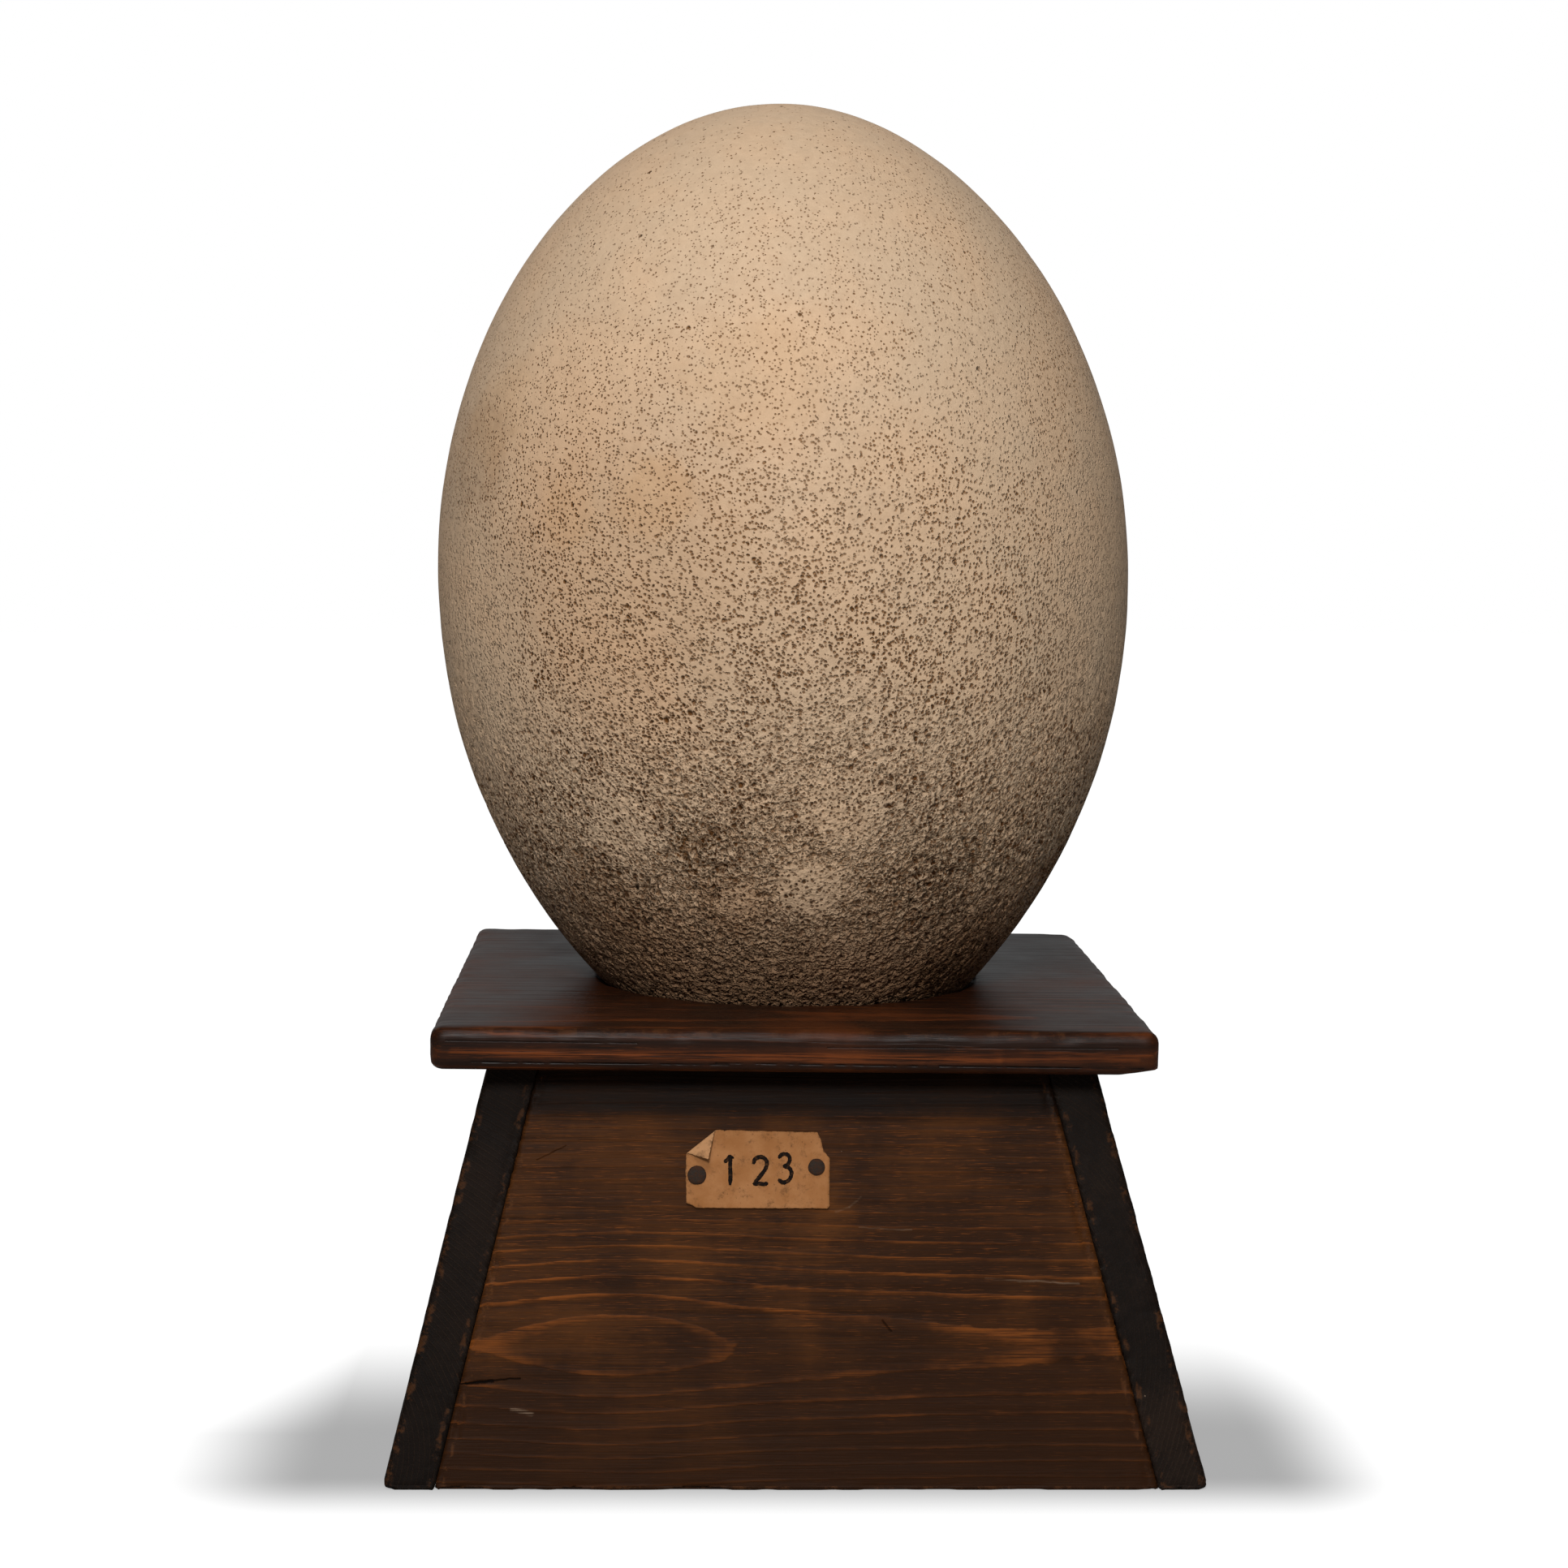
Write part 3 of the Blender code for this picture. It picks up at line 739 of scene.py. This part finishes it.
# Marks on the front board, (kind, start, end, half width, strength), in mm on its face
FRONT_MARKS = (
    ("crack", (-108, 31.2, 0), (-83.6, 33.6, 0), 0.45, 1.0),
    ("crack", (-100, 32.0, 0), (-92, 32.6, 0), 0.8, 0.9),
    ("scratch", (58.5, 63.6, 0), (87.0, 61.9, 0), 0.5, 0.5),
    ("scratch", (12.8, 83.9, 0), (17.0, 85.2, 0), 0.5, 0.15),
    ("scratch", (17.0, 85.2, 0), (20.5, 88.2, 0), 0.5, 0.15),
    ("crack", (-79, 99.5, 0), (-70, 104.0, 0), 0.30, 0.6),
    ("crack", (27, 51.0, 0), (29.5, 47.5, 0), 0.5, 0.7),
    ("scratch", (-86, 24.5, 0), (-80, 23.0, 0), 1.0, 0.6),
    ("scratch", (20, 79.0, 0), (36, 78.2, 0), 0.4, 0.25),
)
# Darker areas of the front board's stain, ((x, y, z) in mm, radius in mm, strength)
FRONT_SHADES = (
    ((45, 27, 0), 40, 0.6), ((-98, 8, 0), 32, 0.9), ((92, 6, 0), 30, 0.5), ((20, 58, 0), 16, 0.5),
    ((44, 68, 0), 27, 0.8), ((-16, 112, 0), 9, 0.7))
# The same for the top board
TOP_SHADES = (((78, -70, 7), 52, 0.75), ((-20, -80, 7), 26, 0.4), ((100, 30, 7), 40, 0.5))
TOP_MARKS = (
    ("shade", (-111, -111.2, 2.7), (111, -111.2, 2.5), 2.9, 0.85),
    ("glow", (-104, -111.2, -1.2), (62, -111.2, -1.7), 2.0, 1.0),
    ("glow", (62, -111.2, -1.7), (104, -111.2, -1.3), 1.5, 0.6),
    ("shade", (-109, -111.2, -4.3), (109, -111.2, -4.6), 1.9, 0.95),
    # Painted highlight: a pale line along the rounded top of the front edge, drawn as a scratch mark
    ("scratch", (-104, -110.4, 6.0), (34, -110.4, 5.8), 0.55, 0.45),
    ("scratch", (-60, -95, 7), (-40, -92, 7), 0.25, 0.7),
    ("scratch", (20, -90, 7), (28, -97, 7), 0.25, 0.7),
    ("scratch", (48, -84, 7), (72, -88, 7), 0.25, 0.6),
    ("scratch", (-12, -104, 7), (4, -101, 7), 0.25, 0.6),
    ("scratch", (70, 60, 7), (90, 40, 7), 0.3, 0.4),
    ("crack", (-98, -111, -3.9), (-20, -111, -4.2), 0.55, 0.8),
    ("crack", (-24, -111, -3.7), (40, -111, -4.1), 0.5, 0.8),
    ("crack", (44, -111, -4.0), (106, -111, -4.4), 0.55, 0.8),
    ("crack", (-106, -111, 2.6), (-48, -111, 2.3), 0.4, 0.6),
    ("crack", (10, -111, 1.4), (98, -111, 1.8), 0.4, 0.5),
)

# Paper label, on the front face: x to the right, y up the slope
LABEL_CORNERS = (
    (-29.9, 84.9), (10.2, 84.7), (10.9, 85.5), (11.1, 99.9), (9.3, 102.3), (8.4, 105.9), (7.3, 108.1),
    (-23.0, 108.8), (-33.8, 109.2), (-33.1, 101.0), (-33.3, 96.0), (-33.0, 86.5))
FOLD_FROM = Vector((-33.1, 100.9)) * MM
FOLD_TO = Vector((-23.0, 108.9)) * MM
FOLD_TURN = math.radians(160)
FOLD_ROLL = 0.45 * MM
SHEET_LIFT = 0.45 * MM
SHEET_CELL = 0.9 * MM
CURL_RADIUS = 15 * MM
RIM_WIDTH = 1.6 * MM
NIBBLE = 0.07
DIGIT_CENTRES = ((-19.9, 96.2), (-10.3, 96.0), (-2.8, 97.0))
DIGIT_STROKES = (
    (((-1.5, 2.7), (-0.4, 3.5), (0.4, 4.4), (0.35, 1.5), (0.45, -1.5), (0.3, -4.3)),),
    (((-2.1, 2.3), (-1.5, 3.9), (0.3, 4.5), (1.9, 3.4), (1.8, 1.3), (0.1, -1.2), (-2.2, -3.9)),
     ((-2.2, -3.9), (-0.5, -3.6), (1.0, -3.8), (2.4, -3.5))),
    (((-1.9, 3.1), (-0.7, 4.3), (1.0, 4.1), (1.6, 2.7), (0.9, 1.2), (-0.5, 0.6)),
     ((-0.5, 0.6), (1.3, 0.2), (2.1, -1.5), (1.3, -3.5), (-0.5, -4.3), (-2.0, -3.3))),
)
STROKE_WIDTH = 1.25 * MM
INK_LIFT = 0.34 * MM
INK_SWELL = 0.05 * MM
INK_THICKNESS = 0.06 * MM

# Tacks on the front face: node, x, y and head radius in mm
TACKS = (("left_tack", -29.7, 94.9, 2.9), ("right_tack", 7.0, 97.4, 2.6))

# Studio: each light's name, place and width in metres, and the floor's radius
LIGHTS = (
    ("key", (-0.19, -1.95, 1.24), 0.5), ("top", (-0.16, -1.06, 1.94), 0.8),
    ("fill", (-0.3, -1.9, 0.25), 1.2))
FLOOR_RADIUS = 6.0


def sheet_height(point):
    """How far the old sheet stands off the board."""
    buckle_height, crease_height = 0.28 * MM, 0.05 * MM
    buckle = 0.5 + 0.5 * noise.noise(Vector((point.x / 0.016, point.y / 0.012, 3.7)))
    crease = 0.5 + 0.5 * noise.noise(Vector((point.x / 0.004, point.y / 0.005, 8.1)))
    return SHEET_LIFT + buckle_height * buckle + crease_height * crease


def fold_over(point, normal):
    """Rolls what lies past the fold line over the sheet; returns the point and its share of flap."""
    past = (point.xy - FOLD_FROM).dot(normal)
    base = sheet_height(point)
    if past <= 0.0:
        return Vector((point.x, point.y, base)), 0.0
    turn = min(past / FOLD_ROLL, FOLD_TURN)
    straight = past - turn * FOLD_ROLL
    curl = straight * straight / (2 * CURL_RADIUS)
    across = FOLD_ROLL * math.sin(turn) + straight * math.cos(turn)
    height = FOLD_ROLL * (1 - math.cos(turn)) + straight * math.sin(turn) + curl
    flat = point.xy + normal * (across - past)
    return Vector((flat.x, flat.y, base + height)), min(1.0, turn / FOLD_TURN)


def label_outline(draw):
    """The cut outline with small nibbles along it."""
    points = []
    corners = [Vector(corner) * MM for corner in LABEL_CORNERS]
    for start, end in zip(corners, corners[1:] + corners[:1]):
        run = end - start
        count = max(1, round(run.length / SHEET_CELL))
        inward = Vector((-run.y, run.x)).normalized()
        for i in range(count):
            nibble = 0.0 if i == 0 else abs(draw.gauss(0.0, NIBBLE)) * MM
            points.append(start + run * i / count + inward * nibble)
    return points


def rim_nearness(point, outline):
    nearest = min((point - corner).length for corner in outline)
    return max(0.0, 1.0 - nearest / RIM_WIDTH)


def make_label_mesh():
    draw = random.Random(5)
    outline = label_outline(draw)
    form = bmesh.new()
    form.faces.new([form.verts.new((p.x, p.y, 0.0)) for p in outline])
    along = (FOLD_TO - FOLD_FROM).normalized()
    normal = Vector((-along.y, along.x))
    cuts = []
    for axis in (0, 1):
        values = [p[axis] for p in outline]
        direction = Vector((1 - axis, axis, 0))
        for i in range(int((max(values) - min(values)) / SHEET_CELL)):
            cuts.append((direction * (min(values) + SHEET_CELL * (i + 0.5)), direction))
    roll = FOLD_ROLL * FOLD_TURN
    cuts += [((FOLD_FROM + normal * roll * i / 6).to_3d(), normal.to_3d()) for i in range(7)]
    for place, direction in cuts:
        bmesh.ops.bisect_plane(
            form, geom=form.verts[:] + form.edges[:] + form.faces[:], plane_co=place, plane_no=direction)
    rims, flaps = [], []
    for vert in form.verts:
        rims.append(rim_nearness(vert.co.xy, outline))
        vert.co, flap = fold_over(vert.co, normal)
        flaps.append(flap)
    form.normal_update()
    mesh = take_mesh(form, "label_sheet")
    store(mesh, "rim", rims)
    store(mesh, "flap", flaps)
    return mesh


def smooth_path(points, count=8):
    """Catmull-Rom curve through the points."""
    line = [Vector(p) for p in points]
    line = [line[0] * 2 - line[1], *line, line[-1] * 2 - line[-2]]
    path = []
    for a, b, c, d in zip(line, line[1:], line[2:], line[3:]):
        for i in range(count):
            t = i / count
            path.append(0.5 * ((2 * b) + (c - a) * t + (2 * a - 5 * b + 4 * c - d) * t * t
                               + (3 * b - a - 3 * c + d) * t ** 3))
    path.append(line[-2])
    return path


def add_stroke(form, points, centre, draw):
    """A flat brush stroke with rounded ends, laid on the sheet."""
    path = [(p + Vector(centre)) * MM for p in smooth_path(points)]
    count = len(path)
    rows = []
    for i, point in enumerate(path):
        ahead = path[min(i + 1, count - 1)] - path[max(i - 1, 0)]
        side = Vector((-ahead.y, ahead.x)).normalized()
        ends = min(1.0, 0.55 + 0.45 * min(i, count - 1 - i) / 3)
        half = STROKE_WIDTH / 2 * ends * draw.uniform(0.88, 1.1)
        height = sheet_height(point.to_3d()) + INK_LIFT
        row = []
        for share, lift in ((-1, 0.0), (-0.6, INK_SWELL), (0.6, INK_SWELL), (1, 0.0)):
            place = point + side * half * share
            row.append(form.verts.new((place.x, place.y, height + lift)))
        rows.append(row)
    for first, second in zip(rows, rows[1:]):
        for k in range(3):
            form.faces.new((first[k], first[k + 1], second[k + 1], second[k]))


def make_numbers_mesh():
    draw = random.Random(3)
    form = bmesh.new()
    for centre, strokes in zip(DIGIT_CENTRES, DIGIT_STROKES):
        for stroke in strokes:
            add_stroke(form, stroke, centre, draw)
    bmesh.ops.recalc_face_normals(form, faces=form.faces)
    bmesh.ops.solidify(form, geom=form.faces[:], thickness=INK_THICKNESS)
    return take_mesh(form, "label_numbers")


def make_tack_mesh(radius, seed):
    """A hand-forged head, slightly out of round, on a short shank."""
    under = SHEET_LIFT + 0.40 * MM
    crown = under + 0.8 * MM
    shank = 0.7 * MM
    profile = [
        (0.0, -5.5 * MM), (shank, -3.4 * MM), (shank, under), (radius * 0.97, under),
        (radius, under + 0.15 * MM), (radius * 0.98, under + 0.35 * MM),
        (radius * 0.86, under + 0.58 * MM), (radius * 0.55, crown - 0.05 * MM), (radius * 0.25, crown),
        (0.0, crown)]
    form = bmesh.new()
    verts = [form.verts.new((x, 0.0, z)) for x, z in profile]
    edges = [form.edges.new(pair) for pair in zip(verts, verts[1:])]
    bmesh.ops.spin(
        form, geom=verts + edges, cent=(0, 0, 0), axis=(0, 0, 1), dvec=(0, 0, 0),
        angle=2 * math.pi, steps=40, use_merge=False, use_duplicate=False)
    bmesh.ops.remove_doubles(form, verts=form.verts, dist=0.01 * MM)
    bmesh.ops.recalc_face_normals(form, faces=form.faces)
    for vert in form.verts:
        wobble = 1.0 + 0.05 * noise.noise(Vector((vert.co.x, vert.co.y, seed * MM)) / (2 * MM))
        vert.co.x *= wobble
        vert.co.y *= wobble
        if vert.co.z > under:
            vert.co.z -= 0.18 * MM * max(0.0, noise.noise(vert.co / (1.6 * MM) + Vector((seed, 0, 0))))
    return take_mesh(form, "tack")


def tint(name, description, *default):
    return FloatVectorProperty(
        name=name, description=description, subtype="COLOR", size=3, min=0.0, max=1.0, default=default)


def length(name, description, default):
    """A length given in mm."""
    return FloatProperty(
        name=name, description=description, unit="LENGTH", default=default * MM, precision=5)


def amount(name, description, default, unit="NONE"):
    return FloatProperty(name=name, description=description, unit=unit, default=default)


class EggSettings(PropertyGroup):
    shell_warm: tint("Warm shell", "Cream of the cleaner shell", 0.66, 0.455, 0.290)
    shell_cool: tint("Cool shell", "Greyer beige between the warm areas", 0.62, 0.450, 0.300)
    ochre: tint("Ochre", "Ochre stains", 0.62, 0.39, 0.21)
    stain: tint("Stain", "Brown film on the lower shell", 0.190, 0.095, 0.040)
    foot_tint: tint("Foot tint", "Brown cast over the shell's lower end", 0.66, 0.50, 0.38)
    # Earth in the upper pores, also standing in for their shade
    pore_dirt_and_shade: tint("Dirt", "Earth held in the upper pores", 0.250, 0.108, 0.032)
    # Earth in the lower pits, dark enough to paint their shade as well
    dark_dirt_and_pit_shade: tint("Dark dirt", "Earth held in the lower pits", 0.108, 0.037, 0.007)
    dirt_strength: amount("Dirt", "How much earth the pores hold", 1.0)
    pore_depth: length("Pore depth", "Depth of the pores", 1.8)
    pit_depth: length("Pit depth", "Depth of the deepest worn pit", 1.4)
    pit_top: amount("Pit line", "Height where pits start, as a share of half the length", 0.05)
    mesh_levels: IntProperty(
        name="Mesh levels", description="Fineness of the shell's mesh", default=7, min=4, max=7)


class StandSettings(PropertyGroup):
    front_dark: tint("Front dark", "Darkest stain of the front board", 0.0225, 0.0082, 0.0029)
    front_mid: tint("Front brown", "Brown of the front board", 0.086, 0.0290, 0.0066)
    front_line: tint("Front grain", "Orange grain lines of the front board", 0.25, 0.070, 0.0120)
    top_dark: tint("Top dark", "Darkest stain of the top board", 0.013, 0.0055, 0.0032)
    top_mid: tint("Top brown", "Red brown of the top board", 0.064, 0.0170, 0.0045)
    top_line: tint("Top grain", "Grain lines of the top board", 0.150, 0.037, 0.0080)
    side_dark: tint("Side dark", "Near black of the side boards", 0.0068, 0.0046, 0.0036)
    side_mid: tint("Side brown", "Brown of the side boards", 0.0165, 0.0097, 0.0066)
    side_line: tint("Side grain", "Late wood of the side boards", 0.036, 0.022, 0.0145)
    worn_wood: tint("Worn wood", "Bare wood where edges are rubbed", 0.19, 0.070, 0.022)
    # The scratch colour also paints the highlight along the top board's front edge
    scratch: tint("Scratch", "Pale scratches and dust", 0.22, 0.15, 0.10)
    # The crack colour also paints the shade under the top board's overhang
    crack: tint("Crack", "Inside of cracks", 0.003, 0.002, 0.0015)
    edge_wear: amount("Edge wear", "How far the edges are rubbed", 0.22)
    grain_depth: length("Grain depth", "Depth of the fine grain", 0.12)
    hollows: length("Hollows", "Depth of broad soft hollows", 0.25)
    furrows: length("Furrows", "Depth of furrows along the grain", 0.18)
    rubbing: length("Rubbing", "How much the edges have lost", 0.7)
    joint_fill: length("Joint fill", "How far butted ends reach into their joints", 0.28)
    voxel: length("Mesh step", "Spacing of the boards' fine mesh", 1.15)


class LabelSettings(PropertyGroup):
    paper: tint("Paper", "Browned paper", 0.385, 0.172, 0.064)
    paper_dark: tint("Dark paper", "Darker, more orange areas", 0.30, 0.120, 0.036)
    paper_back: tint("Paper back", "Paler back of the folded corner", 0.46, 0.235, 0.105)
    paper_dirt: tint("Paper dirt", "Dirt along the edges", 0.082, 0.034, 0.011)
    ink: tint("Ink", "Painted numbers", 0.008, 0.005, 0.004)
    iron: tint("Iron", "Tack heads", 0.026, 0.0165, 0.0115)
    rust: tint("Rust", "Rust on the tack heads", 0.046, 0.019, 0.010)
    thickness: length("Thickness", "Thickness of the paper", 0.28)


class StageSettings(PropertyGroup):
    floor: tint("Floor", "Floor colour that lights the stand from below", 0.55, 0.54, 0.52)
    floor_seen: tint("Floor in view", "Floor colour under its own glow", 0.12, 0.12, 0.12)
    # Brightness of the shadow painted on the floor beside the stand
    painted_floor_shadow: amount("Floor shade", "Brightness of the shade by the stand", 0.34)
    sky: amount("Room light", "Soft light from all around", 0.075)
    key_power: amount("Key light", "Power of the front light", 27.0, "POWER")
    top_power: amount("Top light", "Power of the high light", 14.5, "POWER")
    fill_power: amount("Fill light", "Power of the front fill", 0.2, "POWER")
    backdrop: amount("Backdrop", "Brightness of the wall behind, in reflections", 0.38)


def grain(pith_across, pith_depth, taper, spacing, wander):
    """Inputs for the growth rings group, in metres on the board's face."""
    return {
        "Pith_Across": pith_across, "Pith_Depth": pith_depth, "Taper": taper, "Spacing": spacing,
        "Wander": wander}


class EGG_OT_shell(Operator):
    """Builds the pitted shell in the place of the egg"""
    bl_idname = "egg_stand.make_shell"
    bl_label = "Make the shell"

    def execute(self, context):
        make_groups()
        settings = context.scene.egg_settings
        lean = Matrix.Translation(EGG_CENTRE) @ Matrix.Rotation(EGG_LEAN, 4, "Y")
        shell = add_piece("egg_shell", make_shell_mesh(settings), shell_material(settings), lean)
        dress(shell, "eggshell", "egg")
        return {"FINISHED"}


class EGG_OT_top_board(Operator):
    """Builds the worn top board that holds the egg"""
    bl_idname = "egg_stand.make_top_board"
    bl_label = "Make the top board"

    def execute(self, context):
        make_groups()
        settings = context.scene.stand_settings
        rings = grain(-0.085, -0.030, 0.020, 0.0042, 0.004)
        tones = (settings.top_dark, settings.top_mid, settings.top_line)
        wood = wood_material(
            "top_board_wood", settings, rings, tones, 0.8, 0.40, 0.12, TOP_MARKS, shades=TOP_SHADES)
        make_board("top_board", TOP_FACE, wood, "top_board_wood", settings, 1)
        return {"FINISHED"}


class EGG_OT_base(Operator):
    """Builds the four sloping boards of the base"""
    bl_idname = "egg_stand.make_base"
    bl_label = "Make the base"

    def execute(self, context):
        make_groups()
        settings = context.scene.stand_settings
        front = grain(0.0437, -0.0170, 0.004, 0.0038, 0.0030)
        front.update(Bulge_At=-0.053, Bulge_Width=0.045, Bulge_Height=0.0055)
        back = grain(0.070, -0.024, -0.030, 0.0040, 0.004)
        left = grain(0.006, 0.024, 0.0, 0.0016, 0.002)
        right = grain(0.060, -0.075, 0.0, 0.0015, 0.002)
        brown = (settings.front_dark, settings.front_mid, settings.front_line)
        black = (settings.side_dark, settings.side_mid, settings.side_line)
        blacker = [tuple(0.68 * part for part in tone) for tone in black]
        boards = (
            ("front_board", FRONT_FACE, "base_wood", front, brown, 0.9, 0.50, 0.05,
             FRONT_MARKS, (0.062, 0.090), 0.85, FRONT_SHADES),
            ("back_board", BACK_FACE, "base_wood", back, brown, 0.85, 0.52, 0.08),
            ("left_board", LEFT_FACE, "side_wood", left, blacker, 0.7, 0.55, 0.05),
            ("right_board", RIGHT_FACE, "side_wood", right, black, 0.7, 0.55, 0.05),
        )
        for seed, (node, matrix, slot, rings, *look) in enumerate(boards, 2):
            wood = wood_material(node + "_wood", settings, rings, *look)
            butted = node in {"front_board", "back_board"}
            make_board(node, matrix, wood, slot, settings, seed, butted=butted)
        return {"FINISHED"}


class EGG_OT_label(Operator):
    """Builds the paper label, its painted numbers and its tacks"""
    bl_idname = "egg_stand.make_label"
    bl_label = "Make the label"

    def execute(self, context):
        make_groups()
        settings = context.scene.label_settings
        label = add_piece("label_sheet", make_label_mesh(), paper_material(settings), FRONT_FACE)
        sheet = label.modifiers.new("thickness", "SOLIDIFY")
        sheet.thickness = settings.thickness
        sheet.offset = 1.0
        dress(label, "old_paper", "label")
        numbers = add_piece("label_numbers", make_numbers_mesh(), ink_material(settings), FRONT_FACE)
        dress(numbers, "old_paper")
        iron = iron_material(settings)
        for seed, (node, x, y, radius) in enumerate(TACKS, 1):
            place = FRONT_FACE @ Matrix.Translation(Vector((x, y, 0)) * MM)
            tack = add_piece(node + "_forged", make_tack_mesh(radius * MM, seed), iron, place)
            dress(tack, "tack_iron", node)
        return {"FINISHED"}


def add_area_light(name, place, size, power):
    light = bpy.data.lights.new(name, "AREA")
    light.shape = "DISK"
    light.size = size
    light.energy = power
    lamp = place_object(name, light)
    lamp.location = place
    lamp.rotation_euler = (AIM - Vector(place)).to_track_quat("-Z", "Y").to_euler()


class EGG_OT_stage(Operator):
    """Sets the pale floor, the soft lights and the camera"""
    bl_idname = "egg_stand.make_stage"
    bl_label = "Make the stage"

    def execute(self, context):
        settings = context.scene.stage_settings
        form = bmesh.new()
        bmesh.ops.create_circle(form, cap_ends=True, segments=96, radius=FLOOR_RADIUS)
        mesh = take_mesh(form, "studio_floor")
        mesh.materials.append(floor_material(settings))
        floor = place_object("studio_floor", mesh)
        for name, place, size in LIGHTS:
            add_area_light(name + "_light", place, size, getattr(settings, name + "_power"))
        self.make_room(context, settings)
        self.make_camera(context)
        return {"FINISHED"}

    def make_room(self, context, settings):
        """Even room light; the camera itself sees plain white."""
        world = bpy.data.worlds.new("studio")
        world.use_nodes = True
        context.scene.world = world
        graph = Graph(world.node_tree)
        background = world.node_tree.nodes["Background"]
        seen = graph.add("ShaderNodeLightPath").outputs["Is Camera Ray"]
        background.inputs["Color"].default_value = (1.0, 1.0, 1.0, 1.0)
        direction = graph.add("ShaderNodeTexCoord").outputs["Generated"]
        toward_wall = graph.vector("DOT_PRODUCT", direction, (0.0, 0.97, 0.24))
        room = step(toward_wall, 0.78, 0.95, settings.sky, settings.backdrop)
        graph.feed(background.inputs["Strength"], most(room, seen))
        context.scene.view_settings.view_transform = "Standard"

    def make_camera(self, context):
        data = bpy.data.cameras.new("photo_view")
        data.sensor_width = CAMERA_SENSOR
        data.lens = CAMERA_LENS
        data.shift_x = CAMERA_SHIFT_X
        data.clip_start = 0.01
        camera = place_object("photo_view", data)
        camera.location = CAMERA_PLACE
        camera.rotation_euler = (math.pi / 2 - CAMERA_PITCH, 0.0, 0.0)
        context.scene.camera = camera


SETTINGS = {
    "egg_settings": EggSettings,
    "stand_settings": StandSettings,
    "label_settings": LabelSettings,
    "stage_settings": StageSettings,
}
MAKERS = (EGG_OT_shell, EGG_OT_top_board, EGG_OT_base, EGG_OT_label, EGG_OT_stage)


class EGG_PT_panel(Panel):
    """Lists the makers of the egg, its stand and the stage"""
    bl_idname = "EGG_PT_panel"
    bl_label = "Egg and stand"
    bl_space_type = "VIEW_3D"
    bl_region_type = "UI"
    bl_category = "Egg and stand"

    def draw(self, context):
        for maker in MAKERS:
            self.layout.operator(maker.bl_idname)
        for name in SETTINGS:
            group = getattr(context.scene, name)
            box = self.layout.box()
            for key in group.bl_rna.properties.keys():
                if key not in {"rna_type", "name"}:
                    box.prop(group, key)


def register():
    for kind in (*SETTINGS.values(), *MAKERS, EGG_PT_panel):
        bpy.utils.register_class(kind)
    for name, kind in SETTINGS.items():
        setattr(bpy.types.Scene, name, PointerProperty(type=kind))


def unregister():
    for name in SETTINGS:
        delattr(bpy.types.Scene, name)
    for kind in (EGG_PT_panel, *reversed(MAKERS), *SETTINGS.values()):
        bpy.utils.unregister_class(kind)


def main():
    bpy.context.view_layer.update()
    register()
    for maker in MAKERS:
        category, name = maker.bl_idname.split(".")
        getattr(getattr(bpy.ops, category), name)()


if __name__ == "__main__":
    main()
